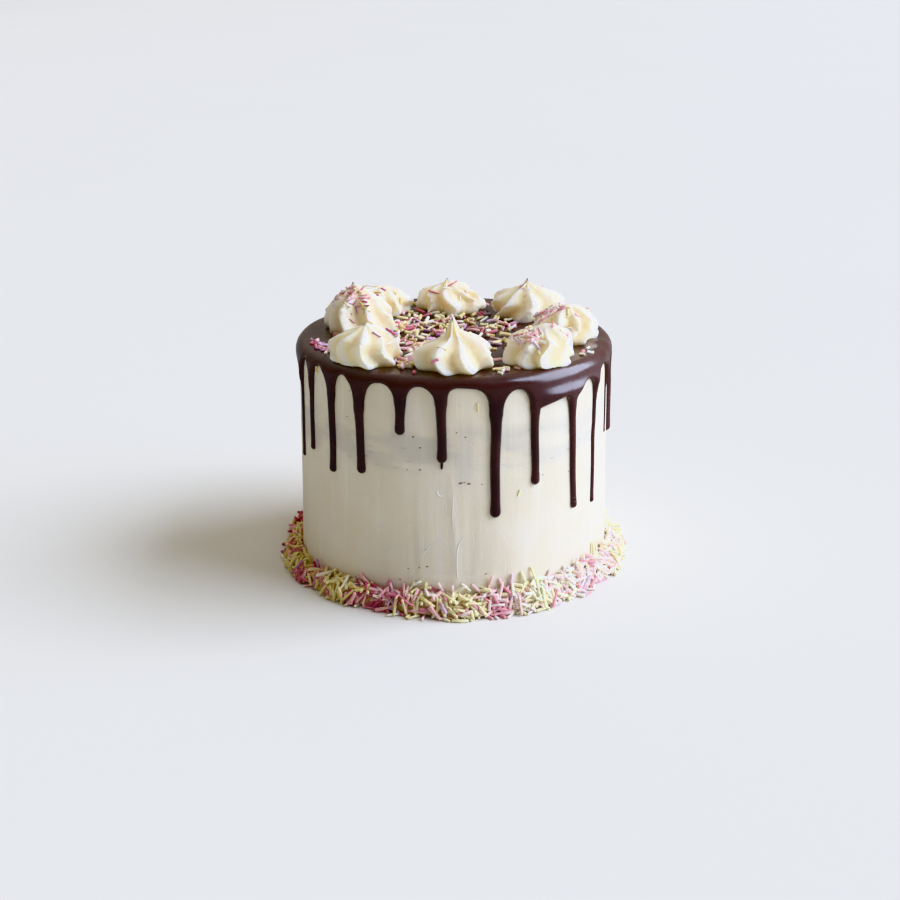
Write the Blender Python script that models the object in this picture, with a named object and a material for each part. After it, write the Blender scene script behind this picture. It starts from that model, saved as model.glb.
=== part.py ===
"""Drip cake: a tall round cake in smoothed buttercream, with chocolate poured over its top edge,
eight piped buttercream swirls, and sugar strands on top and heaped round the foot.

Lengths below are millimetres and angles degrees, except in bpy calls. Angle 0 is the front of
the cake, which faces -Y, and angles grow towards +X. The origin is the centre of the underside.
"""

import math
import random
from typing import NamedTuple

import bmesh
import bpy
from mathutils import Matrix, Vector

MM = 0.001
GAP = 0.3  # clearance between pieces that touch
SMOOTH_ANGLE = 38.0

# The cake and its buttercream
CAKE_HEIGHT = 113.0
FOOT_RADIUS = 79.3
TOP_RADIUS = 76.8
EDGE_ROUND = 3.0
CAKE_SIDES = 72

# The core of the strands heaped against the foot; the heap is higher at the front right
HEAP_WIDTH = 8.9
HEAP_WIDTH_UNEVEN = 1.8
HEAP_HEIGHT = 6.9
HEAP_HEIGHT_UNEVEN = 1.5
HEAP_TILT = 4.6
HEAP_HIGH_SIDE = 32.0
HEAP_BACK_SHARE = -0.25

# The poured chocolate: the glaze on top, the band round the edge, its bead and its thin lip
GLAZE_DEPTH = 1.7
BAND_DEPTH = 1.9
BEAD = 0.8
LIP_DEPTH = 0.35
BULB_SWELL = 1.12
BACK_DRIPS = 14
BACK_START = 15.0
BACK_STEP = 13.1
BACK_SEED = 11

# The piped swirls
RIDGES = 8
RIDGE_POINTS = 3
RIDGE_DEPTH = 0.28
BELLY = 0.12
RIM_LIMIT = 76.0

# One sugar strand, and how many there are
STRAND_LENGTH = 6.5
STRAND_RADIUS = 0.85
STRAND_SIDES = 5
FOOT_STRANDS = 90
CENTRE_STRANDS = 50
CENTRE_REACH = 31.0
RIM_STRANDS = 9
RIM_STRAND_REACH = 70.5

FLAT_REACH = TOP_RADIUS - EDGE_ROUND
EDGE_REACH = FLAT_REACH + EDGE_ROUND * math.pi / 2
MID_EDGE = (FLAT_REACH + EDGE_REACH) / 2
GLAZE_TOP = CAKE_HEIGHT + GAP + GLAZE_DEPTH


class Drip(NamedTuple):
    """A run of chocolate, and the arch between it and the next.

    arch is how far below the cake's top the chocolate ends halfway to the next drip, and flare
    is the height over which the drip narrows.
    """

    angle: float
    tip: float
    width: float
    arch: float
    flare: float


class Swirl(NamedTuple):
    """A piped swirl: its centre on the cake's top, its size, and the strands lying on it.

    top is the share of the height at which the body would close, and fullness how full the body
    is. ledge is how much lower the body closes on the left than on the right, as it winds up, and
    spire how wide the spire that goes on from there would be at the foot. lean moves the tip
    along X.
    """

    name: str
    x: float
    y: float
    radius: float
    height: float
    top: float
    fullness: float
    ledge: float
    spire: float
    lean: float
    twist: float
    strands: int


# From left to right across the front
FRONT_DRIPS = (
    Drip(-71.8, 59.0, 2.4, 2.6, 9.0),
    Drip(-61.1, 67.0, 3.0, 2.4, 9.0),
    Drip(-47.5, 61.0, 4.0, 2.4, 11.0),
    Drip(-33.8, 65.0, 4.3, 2.4, 14.0),
    Drip(-18.3, 87.0, 4.4, 2.6, 9.0),
    Drip(-4.0, 71.5, 4.5, 2.6, 8.0),
    Drip(14.6, 47.0, 5.0, 5.0, 12.0),
    Drip(29.5, 60.5, 4.3, 11.0, 11.0),
    Drip(47.0, 42.5, 3.9, 8.0, 10.0),
    Drip(61.0, 40.0, 2.6, 5.0, 9.0),
    Drip(75.1, 70.3, 2.0, 4.0, 9.0),
)

# Anticlockwise from the front
SWIRLS = (
    Swirl("swirl_front", 0.9, -56.3, 19.9, 25.0, 0.62, 2.4, 0.16, 0.70, -1.4, -12.0, 2),
    Swirl("swirl_front_right", 40.3, -48.3, 18.6, 17.5, 1.04, 2.1, 0.06, 0.95, 2.6, -20.0, 7),
    Swirl("swirl_right", 53.2, -10.8, 17.4, 17.5, 1.04, 2.0, 0.05, 0.95, 2.6, 18.0, 7),
    Swirl("swirl_back_right", 37.6, 35.6, 19.1, 20.2, 0.84, 1.8, 0.10, 0.85, 0.7, 22.0, 4),
    Swirl("swirl_back", -2.0, 48.4, 19.9, 17.2, 0.90, 1.9, 0.08, 0.85, -1.5, -16.0, 4),
    Swirl("swirl_back_left", -39.5, 42.8, 17.4, 14.5, 1.05, 2.1, 0.05, 0.95, -1.0, 20.0, 4),
    Swirl("swirl_left", -47.6, 6.0, 19.6, 25.0, 0.98, 1.4, 0.08, 0.95, -2.7, 20.0, 8),
    Swirl("swirl_front_left", -41.2, -47.6, 18.0, 18.0, 0.98, 2.1, 0.05, 0.90, 0.3, -14.0, 4),
)

SWIRL_ROWS = (0.0, BELLY, 0.27, 0.43, 0.58, 0.73, 0.88)


def polar(radius, angle, height):
    """A point at a distance and angle from the cake's axis."""
    turn = math.radians(angle)
    return Vector((radius * math.sin(turn), -radius * math.cos(turn), height))


def wall_radius(height):
    """The wall leans in a little from the foot to the top edge."""
    share = height / (CAKE_HEIGHT - EDGE_ROUND)
    return FOOT_RADIUS + (TOP_RADIUS - FOOT_RADIUS) * share


def reach_at(height):
    """The distance along the buttercream, from the middle of the top, down to this height."""
    return EDGE_REACH + CAKE_HEIGHT - EDGE_ROUND - height


def coat_point(reach, angle, lift):
    """A point that stands `lift` off the buttercream, at a distance along its surface that
    runs out over the top, round the edge and down the wall."""
    if reach <= FLAT_REACH:
        return polar(reach, angle, CAKE_HEIGHT + lift)
    if reach <= EDGE_REACH:
        bend = (reach - FLAT_REACH) / EDGE_ROUND
        arm = EDGE_ROUND + lift
        height = CAKE_HEIGHT - EDGE_ROUND + arm * math.cos(bend)
        return polar(FLAT_REACH + arm * math.sin(bend), angle, height)
    height = CAKE_HEIGHT - EDGE_ROUND - (reach - EDGE_REACH)
    return polar(wall_radius(height) + lift, angle, height)


def finish(name, colour, roughness):
    """A plain finish for one piece."""
    made = bpy.data.materials.new(name + "_finish")
    made.use_nodes = True
    shader = made.node_tree.nodes["Principled BSDF"]
    shader.inputs["Base Color"].default_value = (*colour, 1.0)
    shader.inputs["Roughness"].default_value = roughness
    shader.inputs["Metallic"].default_value = 0.0
    return made


def buttercream(name):
    return finish(name, (0.83, 0.77, 0.62), 0.55)


def chocolate(name):
    return finish(name, (0.035, 0.012, 0.008), 0.22)


def add_ring(edit, points):
    """A row of vertices from points in millimetres."""
    return [edit.verts.new(point * MM) for point in points]


def join_rows(edit, upper, lower, closed=True):
    """Quads between two rows of as many vertices."""
    count = len(upper)
    for i in range(count if closed else count - 1):
        j = (i + 1) % count
        edit.faces.new((upper[i], upper[j], lower[j], lower[i]))


def add_object(name, edit, material):
    """An object from a bmesh, with its faces pointing out."""
    bmesh.ops.recalc_face_normals(edit, faces=edit.faces)
    mesh = bpy.data.meshes.new(name)
    edit.to_mesh(mesh)
    edit.free()
    mesh.materials.append(material)
    made = bpy.data.objects.new(name, mesh)
    bpy.context.scene.collection.objects.link(made)
    return made


def shade(piece):
    """Smooth shading, with the sharp ends of strands left sharp."""
    piece.data.shade_smooth()
    piece.data.set_sharp_from_angle(angle=math.radians(SMOOTH_ANGLE))


def heap_waves(angle):
    """An uneven line round the foot, between about -1 and 1."""
    turn = math.radians(angle)
    return (math.sin(5 * turn + 0.6) + 0.8 * math.sin(11 * turn + 2.1) + 0.6 * math.sin(17 * turn)) / 2


def heap_point(angle, share):
    """A point on the heap's slope, from the floor at share 0 up to the wall at share 1."""
    width = HEAP_WIDTH + HEAP_WIDTH_UNEVEN * heap_waves(angle)
    tilted = max(HEAP_BACK_SHARE, math.cos(math.radians(angle - HEAP_HIGH_SIDE)))
    height = HEAP_HEIGHT + HEAP_TILT * tilted + HEAP_HEIGHT_UNEVEN * heap_waves(angle + 40.0)
    bend = share * math.pi / 2
    rise = height * math.sin(bend)
    return polar(wall_radius(rise) + width * math.cos(bend), angle, rise)


def make_cake():
    """The whole coated cake, with the core of the heap round its foot."""
    edit = bmesh.new()
    angles = [360.0 * i / CAKE_SIDES for i in range(CAKE_SIDES)]
    rows = [add_ring(edit, [heap_point(a, share) for a in angles]) for share in (0.0, 0.35, 0.7, 1.0)]
    for reach in (EDGE_REACH, MID_EDGE, FLAT_REACH):
        rows.append(add_ring(edit, [coat_point(reach, a, 0.0) for a in angles]))
    edit.faces.new(rows[0])
    edit.faces.new(rows[-1])
    for lower, upper in zip(rows, rows[1:]):
        join_rows(edit, upper, lower)
    return add_object("cake", edit, buttercream("cake"))


def all_drips():
    """The drips seen from the front, then more of the same kind round the back."""
    draw = random.Random(BACK_SEED)
    start = FRONT_DRIPS[-1].angle + BACK_START
    drips = list(FRONT_DRIPS)
    for i in range(BACK_DRIPS):
        drips.append(
            Drip(
                angle=start + BACK_STEP * i + draw.uniform(-2.0, 2.0),
                tip=draw.uniform(42.0, 82.0),
                width=draw.uniform(3.0, 5.4),
                arch=draw.uniform(2.5, 6.0),
                flare=draw.uniform(8.0, 13.0),
            )
        )
    return drips


class Column(NamedTuple):
    """One upright line through the chocolate band: where its lower end is, how deep it is
    there, and the number of the drip that goes on from it, or -1 in an arch."""

    angle: float
    reach: float
    depth: float
    drip: int


STEM_ACROSS = (-1.0, -0.5, 0.5, 1.0)
ARCH_ACROSS = (-0.72, 0.0, 0.72)


def spring_height(drip):
    """Where the arches on both sides of a drip end and it has its full narrowness."""
    return CAKE_HEIGHT - drip.arch - drip.flare


def half_angle(drip):
    return math.degrees(drip.width / 2 / TOP_RADIUS)


def stem_depths(drip, share):
    """The depths across a drip: thin lips at its sides, and a crown between them."""
    crown = drip.width * share
    return (LIP_DEPTH, crown, crown, LIP_DEPTH)


def band_columns(drips):
    """The band's upright lines: four through each drip, three in the arch after it."""
    columns = []
    for number, drip in enumerate(drips):
        after = drips[(number + 1) % len(drips)]
        spring = reach_at(spring_height(drip))
        for across, depth in zip(STEM_ACROSS, stem_depths(drip, 0.42)):
            columns.append(Column(drip.angle + across * half_angle(drip), spring, depth, number))
        start = drip.angle + half_angle(drip)
        width = (after.angle - start) % 360.0 - half_angle(after)
        top = reach_at(CAKE_HEIGHT - drip.arch)
        for across in ARCH_ACROSS:
            foot = spring if across < 0 else reach_at(spring_height(after))
            reach = foot + (top - foot) * math.sqrt(1 - across * across)
            columns.append(Column(start + width * (1 + across) / 2, reach, LIP_DEPTH, -1))
    return columns


def shoulder(column):
    """Where the band leaves the rounded edge, or a little above a short band's lower line."""
    return min(EDGE_REACH, column.reach - BEAD * 1.5)


def make_chocolate():
    """A poured sheet that lies over the top and runs down the wall in drips."""
    drips = all_drips()
    columns = band_columns(drips)
    edit = bmesh.new()

    def ring(reach_of, depth_of):
        points = [coat_point(reach_of(c), c.angle, GAP + depth_of(c)) for c in columns]
        return add_ring(edit, points)

    outer = [
        ring(lambda c: FLAT_REACH, lambda c: GLAZE_DEPTH),
        ring(lambda c: MID_EDGE, lambda c: GLAZE_DEPTH),
        ring(shoulder, lambda c: BAND_DEPTH),
        ring(lambda c: c.reach - BEAD, lambda c: max(c.depth, BAND_DEPTH * 0.75)),
        ring(lambda c: c.reach, lambda c: c.depth),
    ]
    inner = [
        ring(lambda c: FLAT_REACH, lambda c: 0.0),
        ring(lambda c: MID_EDGE, lambda c: 0.0),
        ring(shoulder, lambda c: 0.0),
        ring(lambda c: c.reach, lambda c: 0.0),
    ]
    for rows in (outer, inner):
        edit.faces.new(rows[0])
        for upper, lower in zip(rows, rows[1:]):
            join_rows(edit, upper, lower)
    lower_outer, lower_inner = outer[-1], inner[-1]
    for i, column in enumerate(columns):
        j = (i + 1) % len(columns)
        if column.drip < 0 or columns[j].drip != column.drip:
            edit.faces.new((lower_outer[i], lower_outer[j], lower_inner[j], lower_inner[i]))
    for number, drip in enumerate(drips):
        places = [i for i, column in enumerate(columns) if column.drip == number]
        run_drip(edit, drip, [lower_outer[i] for i in places], [lower_inner[i] for i in places])
    return add_object("chocolate_drip", edit, chocolate("chocolate_drip"))


def run_drip(edit, drip, outer, inner):
    """Runs one drip down from the band: straight, then a little fuller before its round tip."""
    spring = spring_height(drip)
    length = spring - drip.tip
    radius = drip.width / 2 * BULB_SWELL
    swell = 1 - 1.6 * radius / length
    stops = (
        (swell * 0.6, 1.0, 0.40),
        (swell, BULB_SWELL, 0.50),
        (1 - 0.5 * radius / length, BULB_SWELL * 0.85, 0.48),
        (1.0, 0.42, 0.22),
    )
    for share, wide, deep in stops:
        height = spring - length * share
        reach = reach_at(height)
        half = math.degrees(drip.width / 2 * wide / wall_radius(height))
        angles = [drip.angle + across * half for across in STEM_ACROSS]
        depths = stem_depths(drip, deep)
        low_outer = add_ring(edit, [coat_point(reach, a, GAP + d) for a, d in zip(angles, depths)])
        low_inner = add_ring(edit, [coat_point(reach, a, GAP) for a in angles])
        join_rows(edit, outer, low_outer, closed=False)
        join_rows(edit, inner, low_inner, closed=False)
        for side in (0, -1):
            edit.faces.new((outer[side], low_outer[side], low_inner[side], inner[side]))
        outer, inner = low_outer, low_inner
    join_rows(edit, outer, inner, closed=False)


def swirl_reach(swirl, rise, aside):
    """The distance from a swirl's axis to its ridges: a rounded body, then a spire.

    aside goes from -1 on the swirl's left side to 1 on its right.
    """
    closing = min(1.0, max(0.0, (rise - BELLY) / (swirl.top + swirl.ledge / 2 * aside - BELLY)))
    body = math.cos(math.pi / 2 * closing ** (swirl.fullness * (1 - 1.5 * swirl.ledge * aside)))
    reach = swirl.radius * max(body, swirl.spire * (1 - rise))
    return reach if rise >= BELLY else reach * 0.94


def swirl_point(swirl, rise, turn, hollow=0.0):
    """A point on a swirl, at a share of its height and an angle about its own axis."""
    turn += math.radians(swirl.twist) * rise
    reach = swirl_reach(swirl, rise, math.cos(turn))
    reach *= 1 - hollow * RIDGE_DEPTH * (0.70 + 0.30 * math.sin(math.pi * (0.12 + 0.7 * rise)))
    x = swirl.x + swirl.lean * rise * rise + reach * math.cos(turn)
    y = swirl.y + reach * math.sin(turn)
    over = max(1.0, math.hypot(x, y) / RIM_LIMIT)
    return Vector((x / over, y / over, GLAZE_TOP + GAP + swirl.height * rise))


def make_swirl(swirl):
    """A star of narrow ridges that turns as it rises to a point."""
    edit = bmesh.new()
    count = RIDGES * RIDGE_POINTS
    base = Vector((swirl.x, swirl.y, GLAZE_TOP + GAP))
    rows = []
    for rise in SWIRL_ROWS:
        row = []
        for i in range(count):
            hollow = 0.0 if i % RIDGE_POINTS == 0 else 1.0
            row.append(swirl_point(swirl, rise, math.tau * i / count, hollow) - base)
        rows.append(add_ring(edit, row))
    edit.faces.new(rows[0])
    for lower, upper in zip(rows, rows[1:]):
        join_rows(edit, upper, lower)
    tip = edit.verts.new(Vector((swirl.lean, 0.0, swirl.height)) * MM)
    for i in range(count):
        edit.faces.new((rows[-1][i], rows[-1][(i + 1) % count], tip))
    made = add_object(swirl.name, edit, buttercream(swirl.name))
    made.location = base * MM
    return made


def add_strand(holder, centre, direction):
    """One sugar strand, a short rod along `direction`."""
    edit = bmesh.new()
    turned = direction.to_track_quat("Z", "Y").to_matrix().to_4x4()
    bmesh.ops.create_cone(
        edit,
        cap_ends=True,
        segments=STRAND_SIDES,
        radius1=STRAND_RADIUS * MM,
        radius2=STRAND_RADIUS * MM,
        depth=STRAND_LENGTH * MM,
        matrix=Matrix.Translation(centre * MM) @ turned,
    )
    mesh = bpy.data.meshes.new("strand")
    edit.to_mesh(mesh)
    edit.free()
    holder.objects.link(bpy.data.objects.new("strand", mesh))


def new_holder(name):
    holder = bpy.data.collections.new(name)
    bpy.context.scene.collection.children.link(holder)
    return holder


def fuse(body, holder):
    """Joins every strand in the collection to the body, and keeps one closed body."""
    bpy.context.view_layer.update()
    join = body.modifiers.new("join", "BOOLEAN")
    join.operation = "UNION"
    join.operand_type = "COLLECTION"
    join.collection = holder
    join.solver = "EXACT"
    bpy.context.view_layer.objects.active = body
    bpy.ops.object.modifier_apply(modifier=join.name)
    for strand in list(holder.objects):
        bpy.data.objects.remove(strand)
    bpy.data.collections.remove(holder)
    keep_largest(body)
    shade(body)


def keep_largest(body):
    """Drops loose scraps, and the inner faces of hollows that the strands closed off."""
    edit = bmesh.new()
    edit.from_mesh(body.data)
    left = set(edit.verts)
    islands = []
    while left:
        reached = [left.pop()]
        island = set(reached)
        while reached:
            for edge in reached.pop().link_edges:
                for vertex in edge.verts:
                    if vertex in left:
                        left.remove(vertex)
                        island.add(vertex)
                        reached.append(vertex)
        islands.append(island)
    islands.sort(key=len)
    for island in islands[:-1]:
        bmesh.ops.delete(edit, geom=list(island), context="VERTS")
    edit.to_mesh(body.data)
    edit.free()


def strew_foot(cake, draw):
    """Strands lying every way on the heap round the foot."""
    holder = new_holder("foot_strands")
    layers = (0.12, 0.62, 0.36, 0.90)
    for i in range(FOOT_STRANDS):
        angle = 360.0 * (i + draw.uniform(0.2, 0.8)) / FOOT_STRANDS
        centre = heap_point(angle, layers[i % len(layers)] + draw.uniform(-0.08, 0.08))
        swing = draw.uniform(-1.2, 1.2)
        up_slope = polar(-1.0, angle, 1.2)
        direction = polar(1.0, angle + 90.0, 0.0) * math.cos(swing) + up_slope * math.sin(swing) * 0.8
        direction.normalize()
        lowest = STRAND_RADIUS * 1.2 + STRAND_LENGTH / 2 * abs(direction.z)
        centre.z = max(centre.z + 0.3, lowest)
        add_strand(holder, centre, direction)
    fuse(cake, holder)


def clear_of_swirls(spot):
    reach = STRAND_LENGTH / 2 + STRAND_RADIUS + GAP
    return all(math.hypot(spot.x - s.x, spot.y - s.y) > s.radius + reach for s in SWIRLS)


def strew_top(poured, draw):
    """Strands on the chocolate: many in the middle, a few at the rim between the swirls."""
    holder = new_holder("top_strands")
    level = GLAZE_TOP + STRAND_RADIUS * 0.4
    spots = []
    while len(spots) < CENTRE_STRANDS:
        spot = polar(CENTRE_REACH * math.sqrt(draw.random()), draw.uniform(0.0, 360.0), level)
        if clear_of_swirls(spot) and all((spot - other).length > 3.4 for other in spots):
            spots.append(spot)
    for i in range(RIM_STRANDS):
        spots.append(polar(RIM_STRAND_REACH, 22.0 + 360.0 * i / RIM_STRANDS, level))
    for spot in filter(clear_of_swirls, spots):
        turn = draw.uniform(0.0, math.pi)
        add_strand(holder, spot, Vector((math.cos(turn), math.sin(turn), draw.uniform(-0.05, 0.12))))
    fuse(poured, holder)


def strew_swirl(swirl, body, draw):
    """A few strands caught on the ridges of a swirl's upper slopes."""
    holder = new_holder(swirl.name + "_strands")
    for i in range(swirl.strands):
        rise = draw.uniform(0.45, 0.80)
        ridge = round(RIDGES * (i + draw.uniform(0.1, 0.9)) / swirl.strands)
        turn = math.tau * ridge / RIDGES
        centre = swirl_point(swirl, rise, turn, 0.1)
        uphill = (swirl_point(swirl, rise + 0.1, turn, 0.1) - centre).normalized()
        across = Vector((-math.sin(turn), math.cos(turn), 0.0))
        swing = draw.uniform(-1.3, 1.3)
        add_strand(holder, centre, across * math.cos(swing) + uphill * math.sin(swing))
    fuse(body, holder)


def main():
    for old in list(bpy.data.objects):
        bpy.data.objects.remove(old)
    strew_foot(make_cake(), random.Random(3))
    strew_top(make_chocolate(), random.Random(5))
    for number, swirl in enumerate(SWIRLS):
        strew_swirl(swirl, make_swirl(swirl), random.Random(20 + number))


main()
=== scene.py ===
# %% [markdown]
# # A chocolate drip cake
# A tall round cake is coated in scraped buttercream. Dark chocolate is poured over its top edge
# and runs down in drips. Eight swirls are piped on top, and sugar strands lie in the middle, on
# the swirls and in a heap round the foot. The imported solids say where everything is, and each of
# them is replaced here by a finer piece of the same form.

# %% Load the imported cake
import math
import random
from typing import NamedTuple

import bmesh
import bpy
import numpy as np
from mathutils import Euler, Matrix, Vector, noise
from mathutils.bvhtree import BVHTree
from mathutils.kdtree import KDTree


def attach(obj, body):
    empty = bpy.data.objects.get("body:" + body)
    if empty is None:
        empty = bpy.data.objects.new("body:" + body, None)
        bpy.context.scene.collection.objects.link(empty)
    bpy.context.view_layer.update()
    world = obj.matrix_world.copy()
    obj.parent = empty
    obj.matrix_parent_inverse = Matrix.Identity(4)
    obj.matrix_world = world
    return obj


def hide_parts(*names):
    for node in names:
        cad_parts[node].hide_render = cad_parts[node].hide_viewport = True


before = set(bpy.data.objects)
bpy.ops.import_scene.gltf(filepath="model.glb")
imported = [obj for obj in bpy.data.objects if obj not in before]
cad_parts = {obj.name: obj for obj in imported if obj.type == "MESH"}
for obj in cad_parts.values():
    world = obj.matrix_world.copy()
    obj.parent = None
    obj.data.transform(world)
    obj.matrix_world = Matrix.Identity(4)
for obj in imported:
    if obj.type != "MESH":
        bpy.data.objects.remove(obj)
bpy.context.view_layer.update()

print("packed nodes:", sorted(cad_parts))

# %% [markdown]
# ## Measures
# Lengths are in millimetres and angles in degrees, and become metres only when they go into a
# mesh. Angle 0 is the front of the cake, which faces -Y, and angles grow towards +X. The measures
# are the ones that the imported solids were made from.

# %% The cake's measures
MM = 0.001
CAKE_HEIGHT = 113.0
FOOT_RADIUS = 79.3
TOP_RADIUS = 76.8
EDGE_ROUND = 3.0
FLAT_REACH = TOP_RADIUS - EDGE_ROUND
EDGE_REACH = FLAT_REACH + EDGE_ROUND * math.pi / 2


def smooth_step(low, high, value):
    """Rises smoothly from 0 at `low` to 1 at `high`."""
    share = min(1.0, max(0.0, (value - low) / (high - low)))
    return share * share * (3 - 2 * share)


def bell(value, middle, width):
    """1 at the middle, falling away evenly on both sides of it."""
    return math.exp(-(((value - middle) / width) ** 2))


def quarter_round(share):
    """A quarter of a circle: 0 at share 0, rising steeply, and 1 from share 1 on."""
    return math.sqrt(max(0.0, 1 - (1 - min(1.0, share)) ** 2))


def polar(radius, angle, height):
    """A point at a distance and angle from the cake's axis."""
    turn = math.radians(angle)
    return Vector((radius * math.sin(turn), -radius * math.cos(turn), height))


def angle_of(spot):
    return math.degrees(math.atan2(spot.x, -spot.y))


def from_front(angle):
    """The same angle between -180 and 180."""
    return (angle + 180.0) % 360.0 - 180.0


def wall_radius(height):
    """The wall leans in a little from the foot to the top edge."""
    return FOOT_RADIUS + (TOP_RADIUS - FOOT_RADIUS) * height / (CAKE_HEIGHT - EDGE_ROUND)


# %% [markdown]
# The buttercream wall was scraped by hand, so it isn't a perfect cone. One function says how far
# it stands off the cone at each place. The wall is shaped with it, and the chocolate and the
# small marks use it too, so that they lie right on the uneven wall.
#
# It adds up waves round the cake, each with its depth, its number and its shift. Two slant, and
# three sway from side to side as they go up. Narrow upright stops of the scraper follow, with
# their angle, depth and width, and a low ledge in front.

# %% How uneven the wall is
SLANTING_WAVES = ((0.17, 2, 1.0, 34.0), (0.12, 5, 0.7, -23.0))
SWAYING_WAVES = (
    (0.07, 11, 2.0, 1.2, 16.0, 0.0), (0.035, 31, 0.0, 0.9, 12.0, 0.0), (0.025, 57, 0.0, 1.6, 19.0, 2.0),
)
SCRAPER_STOPS = ((-11.3, 0.22, 1.1), (0.2, 0.30, 1.3), (5.5, -0.16, 2.2), (-4.0, -0.14, 2.6))
STOPS_BEGIN = (8.0, 24.0)
STOPS_END = (52.0, 82.0)
STOP_SWAY = 0.7
LEDGE_HEIGHT = 17.8
LEDGE_DEPTH = 0.34
LEDGE_EDGE = 0.9
LEDGE_SLANT = 0.06
LEDGE_HALF_ANGLE = 17.0
MEAN_RELIEF = 0.12
EVEN_ABOVE = (98.0, 110.0)


def coat_relief(angle, height):
    """How far the wall stands off the true cone, in millimetres."""
    turn = math.radians(angle)
    aside = from_front(angle)
    relief = 0.0
    for depth, count, shift, pitch in SLANTING_WAVES:
        relief += depth * math.sin(count * turn + shift + height / pitch)
    for depth, count, shift, sway, pitch, start in SWAYING_WAVES:
        relief += depth * math.sin(count * turn + shift + sway * math.sin(height / pitch + start))
    for place, depth, width in SCRAPER_STOPS:
        line = place + STOP_SWAY * math.sin(height / 15 + place)
        fade = smooth_step(*STOPS_BEGIN, height) * (1 - smooth_step(*STOPS_END, height))
        relief += depth * fade * bell(aside, line, width)
    slanted = height + LEDGE_SLANT * aside
    ledge = 1 - smooth_step(LEDGE_HEIGHT - LEDGE_EDGE, LEDGE_HEIGHT + LEDGE_EDGE, slanted)
    relief += LEDGE_DEPTH * ledge * (1 - smooth_step(LEDGE_HALF_ANGLE - 5, LEDGE_HALF_ANGLE, abs(aside)))
    return (relief - MEAN_RELIEF) * (1 - smooth_step(*EVEN_ABOVE, height))


def coat_point(reach, angle, lift):
    """A point that stands `lift` off the buttercream, at a distance along its surface that
    runs out over the top, round the edge and down the wall."""
    if reach <= FLAT_REACH:
        return polar(reach, angle, CAKE_HEIGHT + lift)
    if reach <= EDGE_REACH:
        bend = (reach - FLAT_REACH) / EDGE_ROUND
        arm = EDGE_ROUND + lift
        height = CAKE_HEIGHT - EDGE_ROUND + arm * math.cos(bend)
        return polar(FLAT_REACH + arm * math.sin(bend), angle, height)
    height = CAKE_HEIGHT - EDGE_ROUND - (reach - EDGE_REACH)
    return polar(wall_radius(height) + coat_relief(angle, height) + lift, angle, height)


def reach_at(height):
    """The distance along the buttercream, from the middle of the top, down to this height."""
    return EDGE_REACH + CAKE_HEIGHT - EDGE_ROUND - height


print("the wall is uneven by", round(max(coat_relief(a, 40) for a in range(360)), 2), "mm at most")

# %% [markdown]
# ## Camera and light
# The photograph was taken from a little above with a short telephoto lens, which keeps the wall's
# sides nearly upright. The camera was fitted to it once, and its place is given from the middle
# of the cake's underside.

# %% Camera
CAMERA_PLACE = (2.3, -688.5, 304.4)
CAMERA_DOWN = 20.07
CAMERA_LEFT = 0.347
LENS = 56.86


def add_object(name, data):
    made = bpy.data.objects.new(name, data)
    bpy.context.scene.collection.objects.link(made)
    return made


view = bpy.data.cameras.new("camera")
view.lens = LENS
view.sensor_width = 36.0
view.clip_end = 100.0
camera = add_object("camera", view)
camera.location = Vector(CAMERA_PLACE) * MM
camera.rotation_euler = Euler((math.radians(90 - CAMERA_DOWN), 0.0, math.radians(CAMERA_LEFT)))
bpy.context.scene.camera = camera
print("the camera's lens is", LENS, "mm")

# %% [markdown]
# One big window to the right lights the cake, so the right side is bright, the left side falls
# into a soft shade, and the chocolate gets long pale reflections. The rest of the room is dim, most
# of all behind the camera, and its ceiling is lighter. The window is an area light far away, so the
# floor is lit evenly, and the room is a gradient in the world's nodes. The chocolate is nearly
# black because it mirrors that dim side, so for mirrored rays the room and the floor are darker
# still. What the camera sees past the floor is pale.

# %% Nodes by name
def add_node(tree, kind, inputs=None, **settings):
    """Adds a node, sets it up, and puts a value or a link in each input named."""
    made = tree.nodes.new(kind)
    for name, value in settings.items():
        setattr(made, name, value)
    for socket, value in (inputs or {}).items():
        if isinstance(value, bpy.types.NodeSocket):
            tree.links.new(value, made.inputs[socket])
        else:
            made.inputs[socket].default_value = value
    return made


def combine(tree, operation, first, second):
    made = add_node(tree, "ShaderNodeMath", {0: first, 1: second}, operation=operation)
    return made.outputs["Value"]


def multiply(tree, first, second):
    return combine(tree, "MULTIPLY", first, second)


def blend_colours(tree, share, first, second):
    """first where share is 0, second where it is 1."""
    sockets = {"Factor": share, "A": first, "B": second}
    return add_node(tree, "ShaderNodeMix", sockets, data_type="RGBA").outputs["Result"]


def remap(tree, value, given, wanted=(0.0, 1.0), interpolation="LINEAR"):
    """Maps the span between the two given values onto the wanted ones, and stops at its ends."""
    sockets = {"Value": value, "From Min": given[0], "From Max": given[1]}
    sockets.update({"To Min": wanted[0], "To Max": wanted[1]})
    made = add_node(tree, "ShaderNodeMapRange", sockets, interpolation_type=interpolation)
    return made.outputs["Result"]


def ramp(tree, value, low, high):
    """0 below low and 1 above high, smoothly, or the other way round if low is the greater."""
    return remap(tree, value, (low, high), interpolation="SMOOTHSTEP")


# %% Window
WINDOW_AWAY = 28.0
WINDOW_AZIMUTH = 0.3
WINDOW_HEIGHT_ANGLE = 29.5
WINDOW_SIZE = (28.0, 29.0)
WINDOW_POWER = 15700.0
WINDOW_COLOUR = (0.875, 1.00, 1.32)

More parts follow.
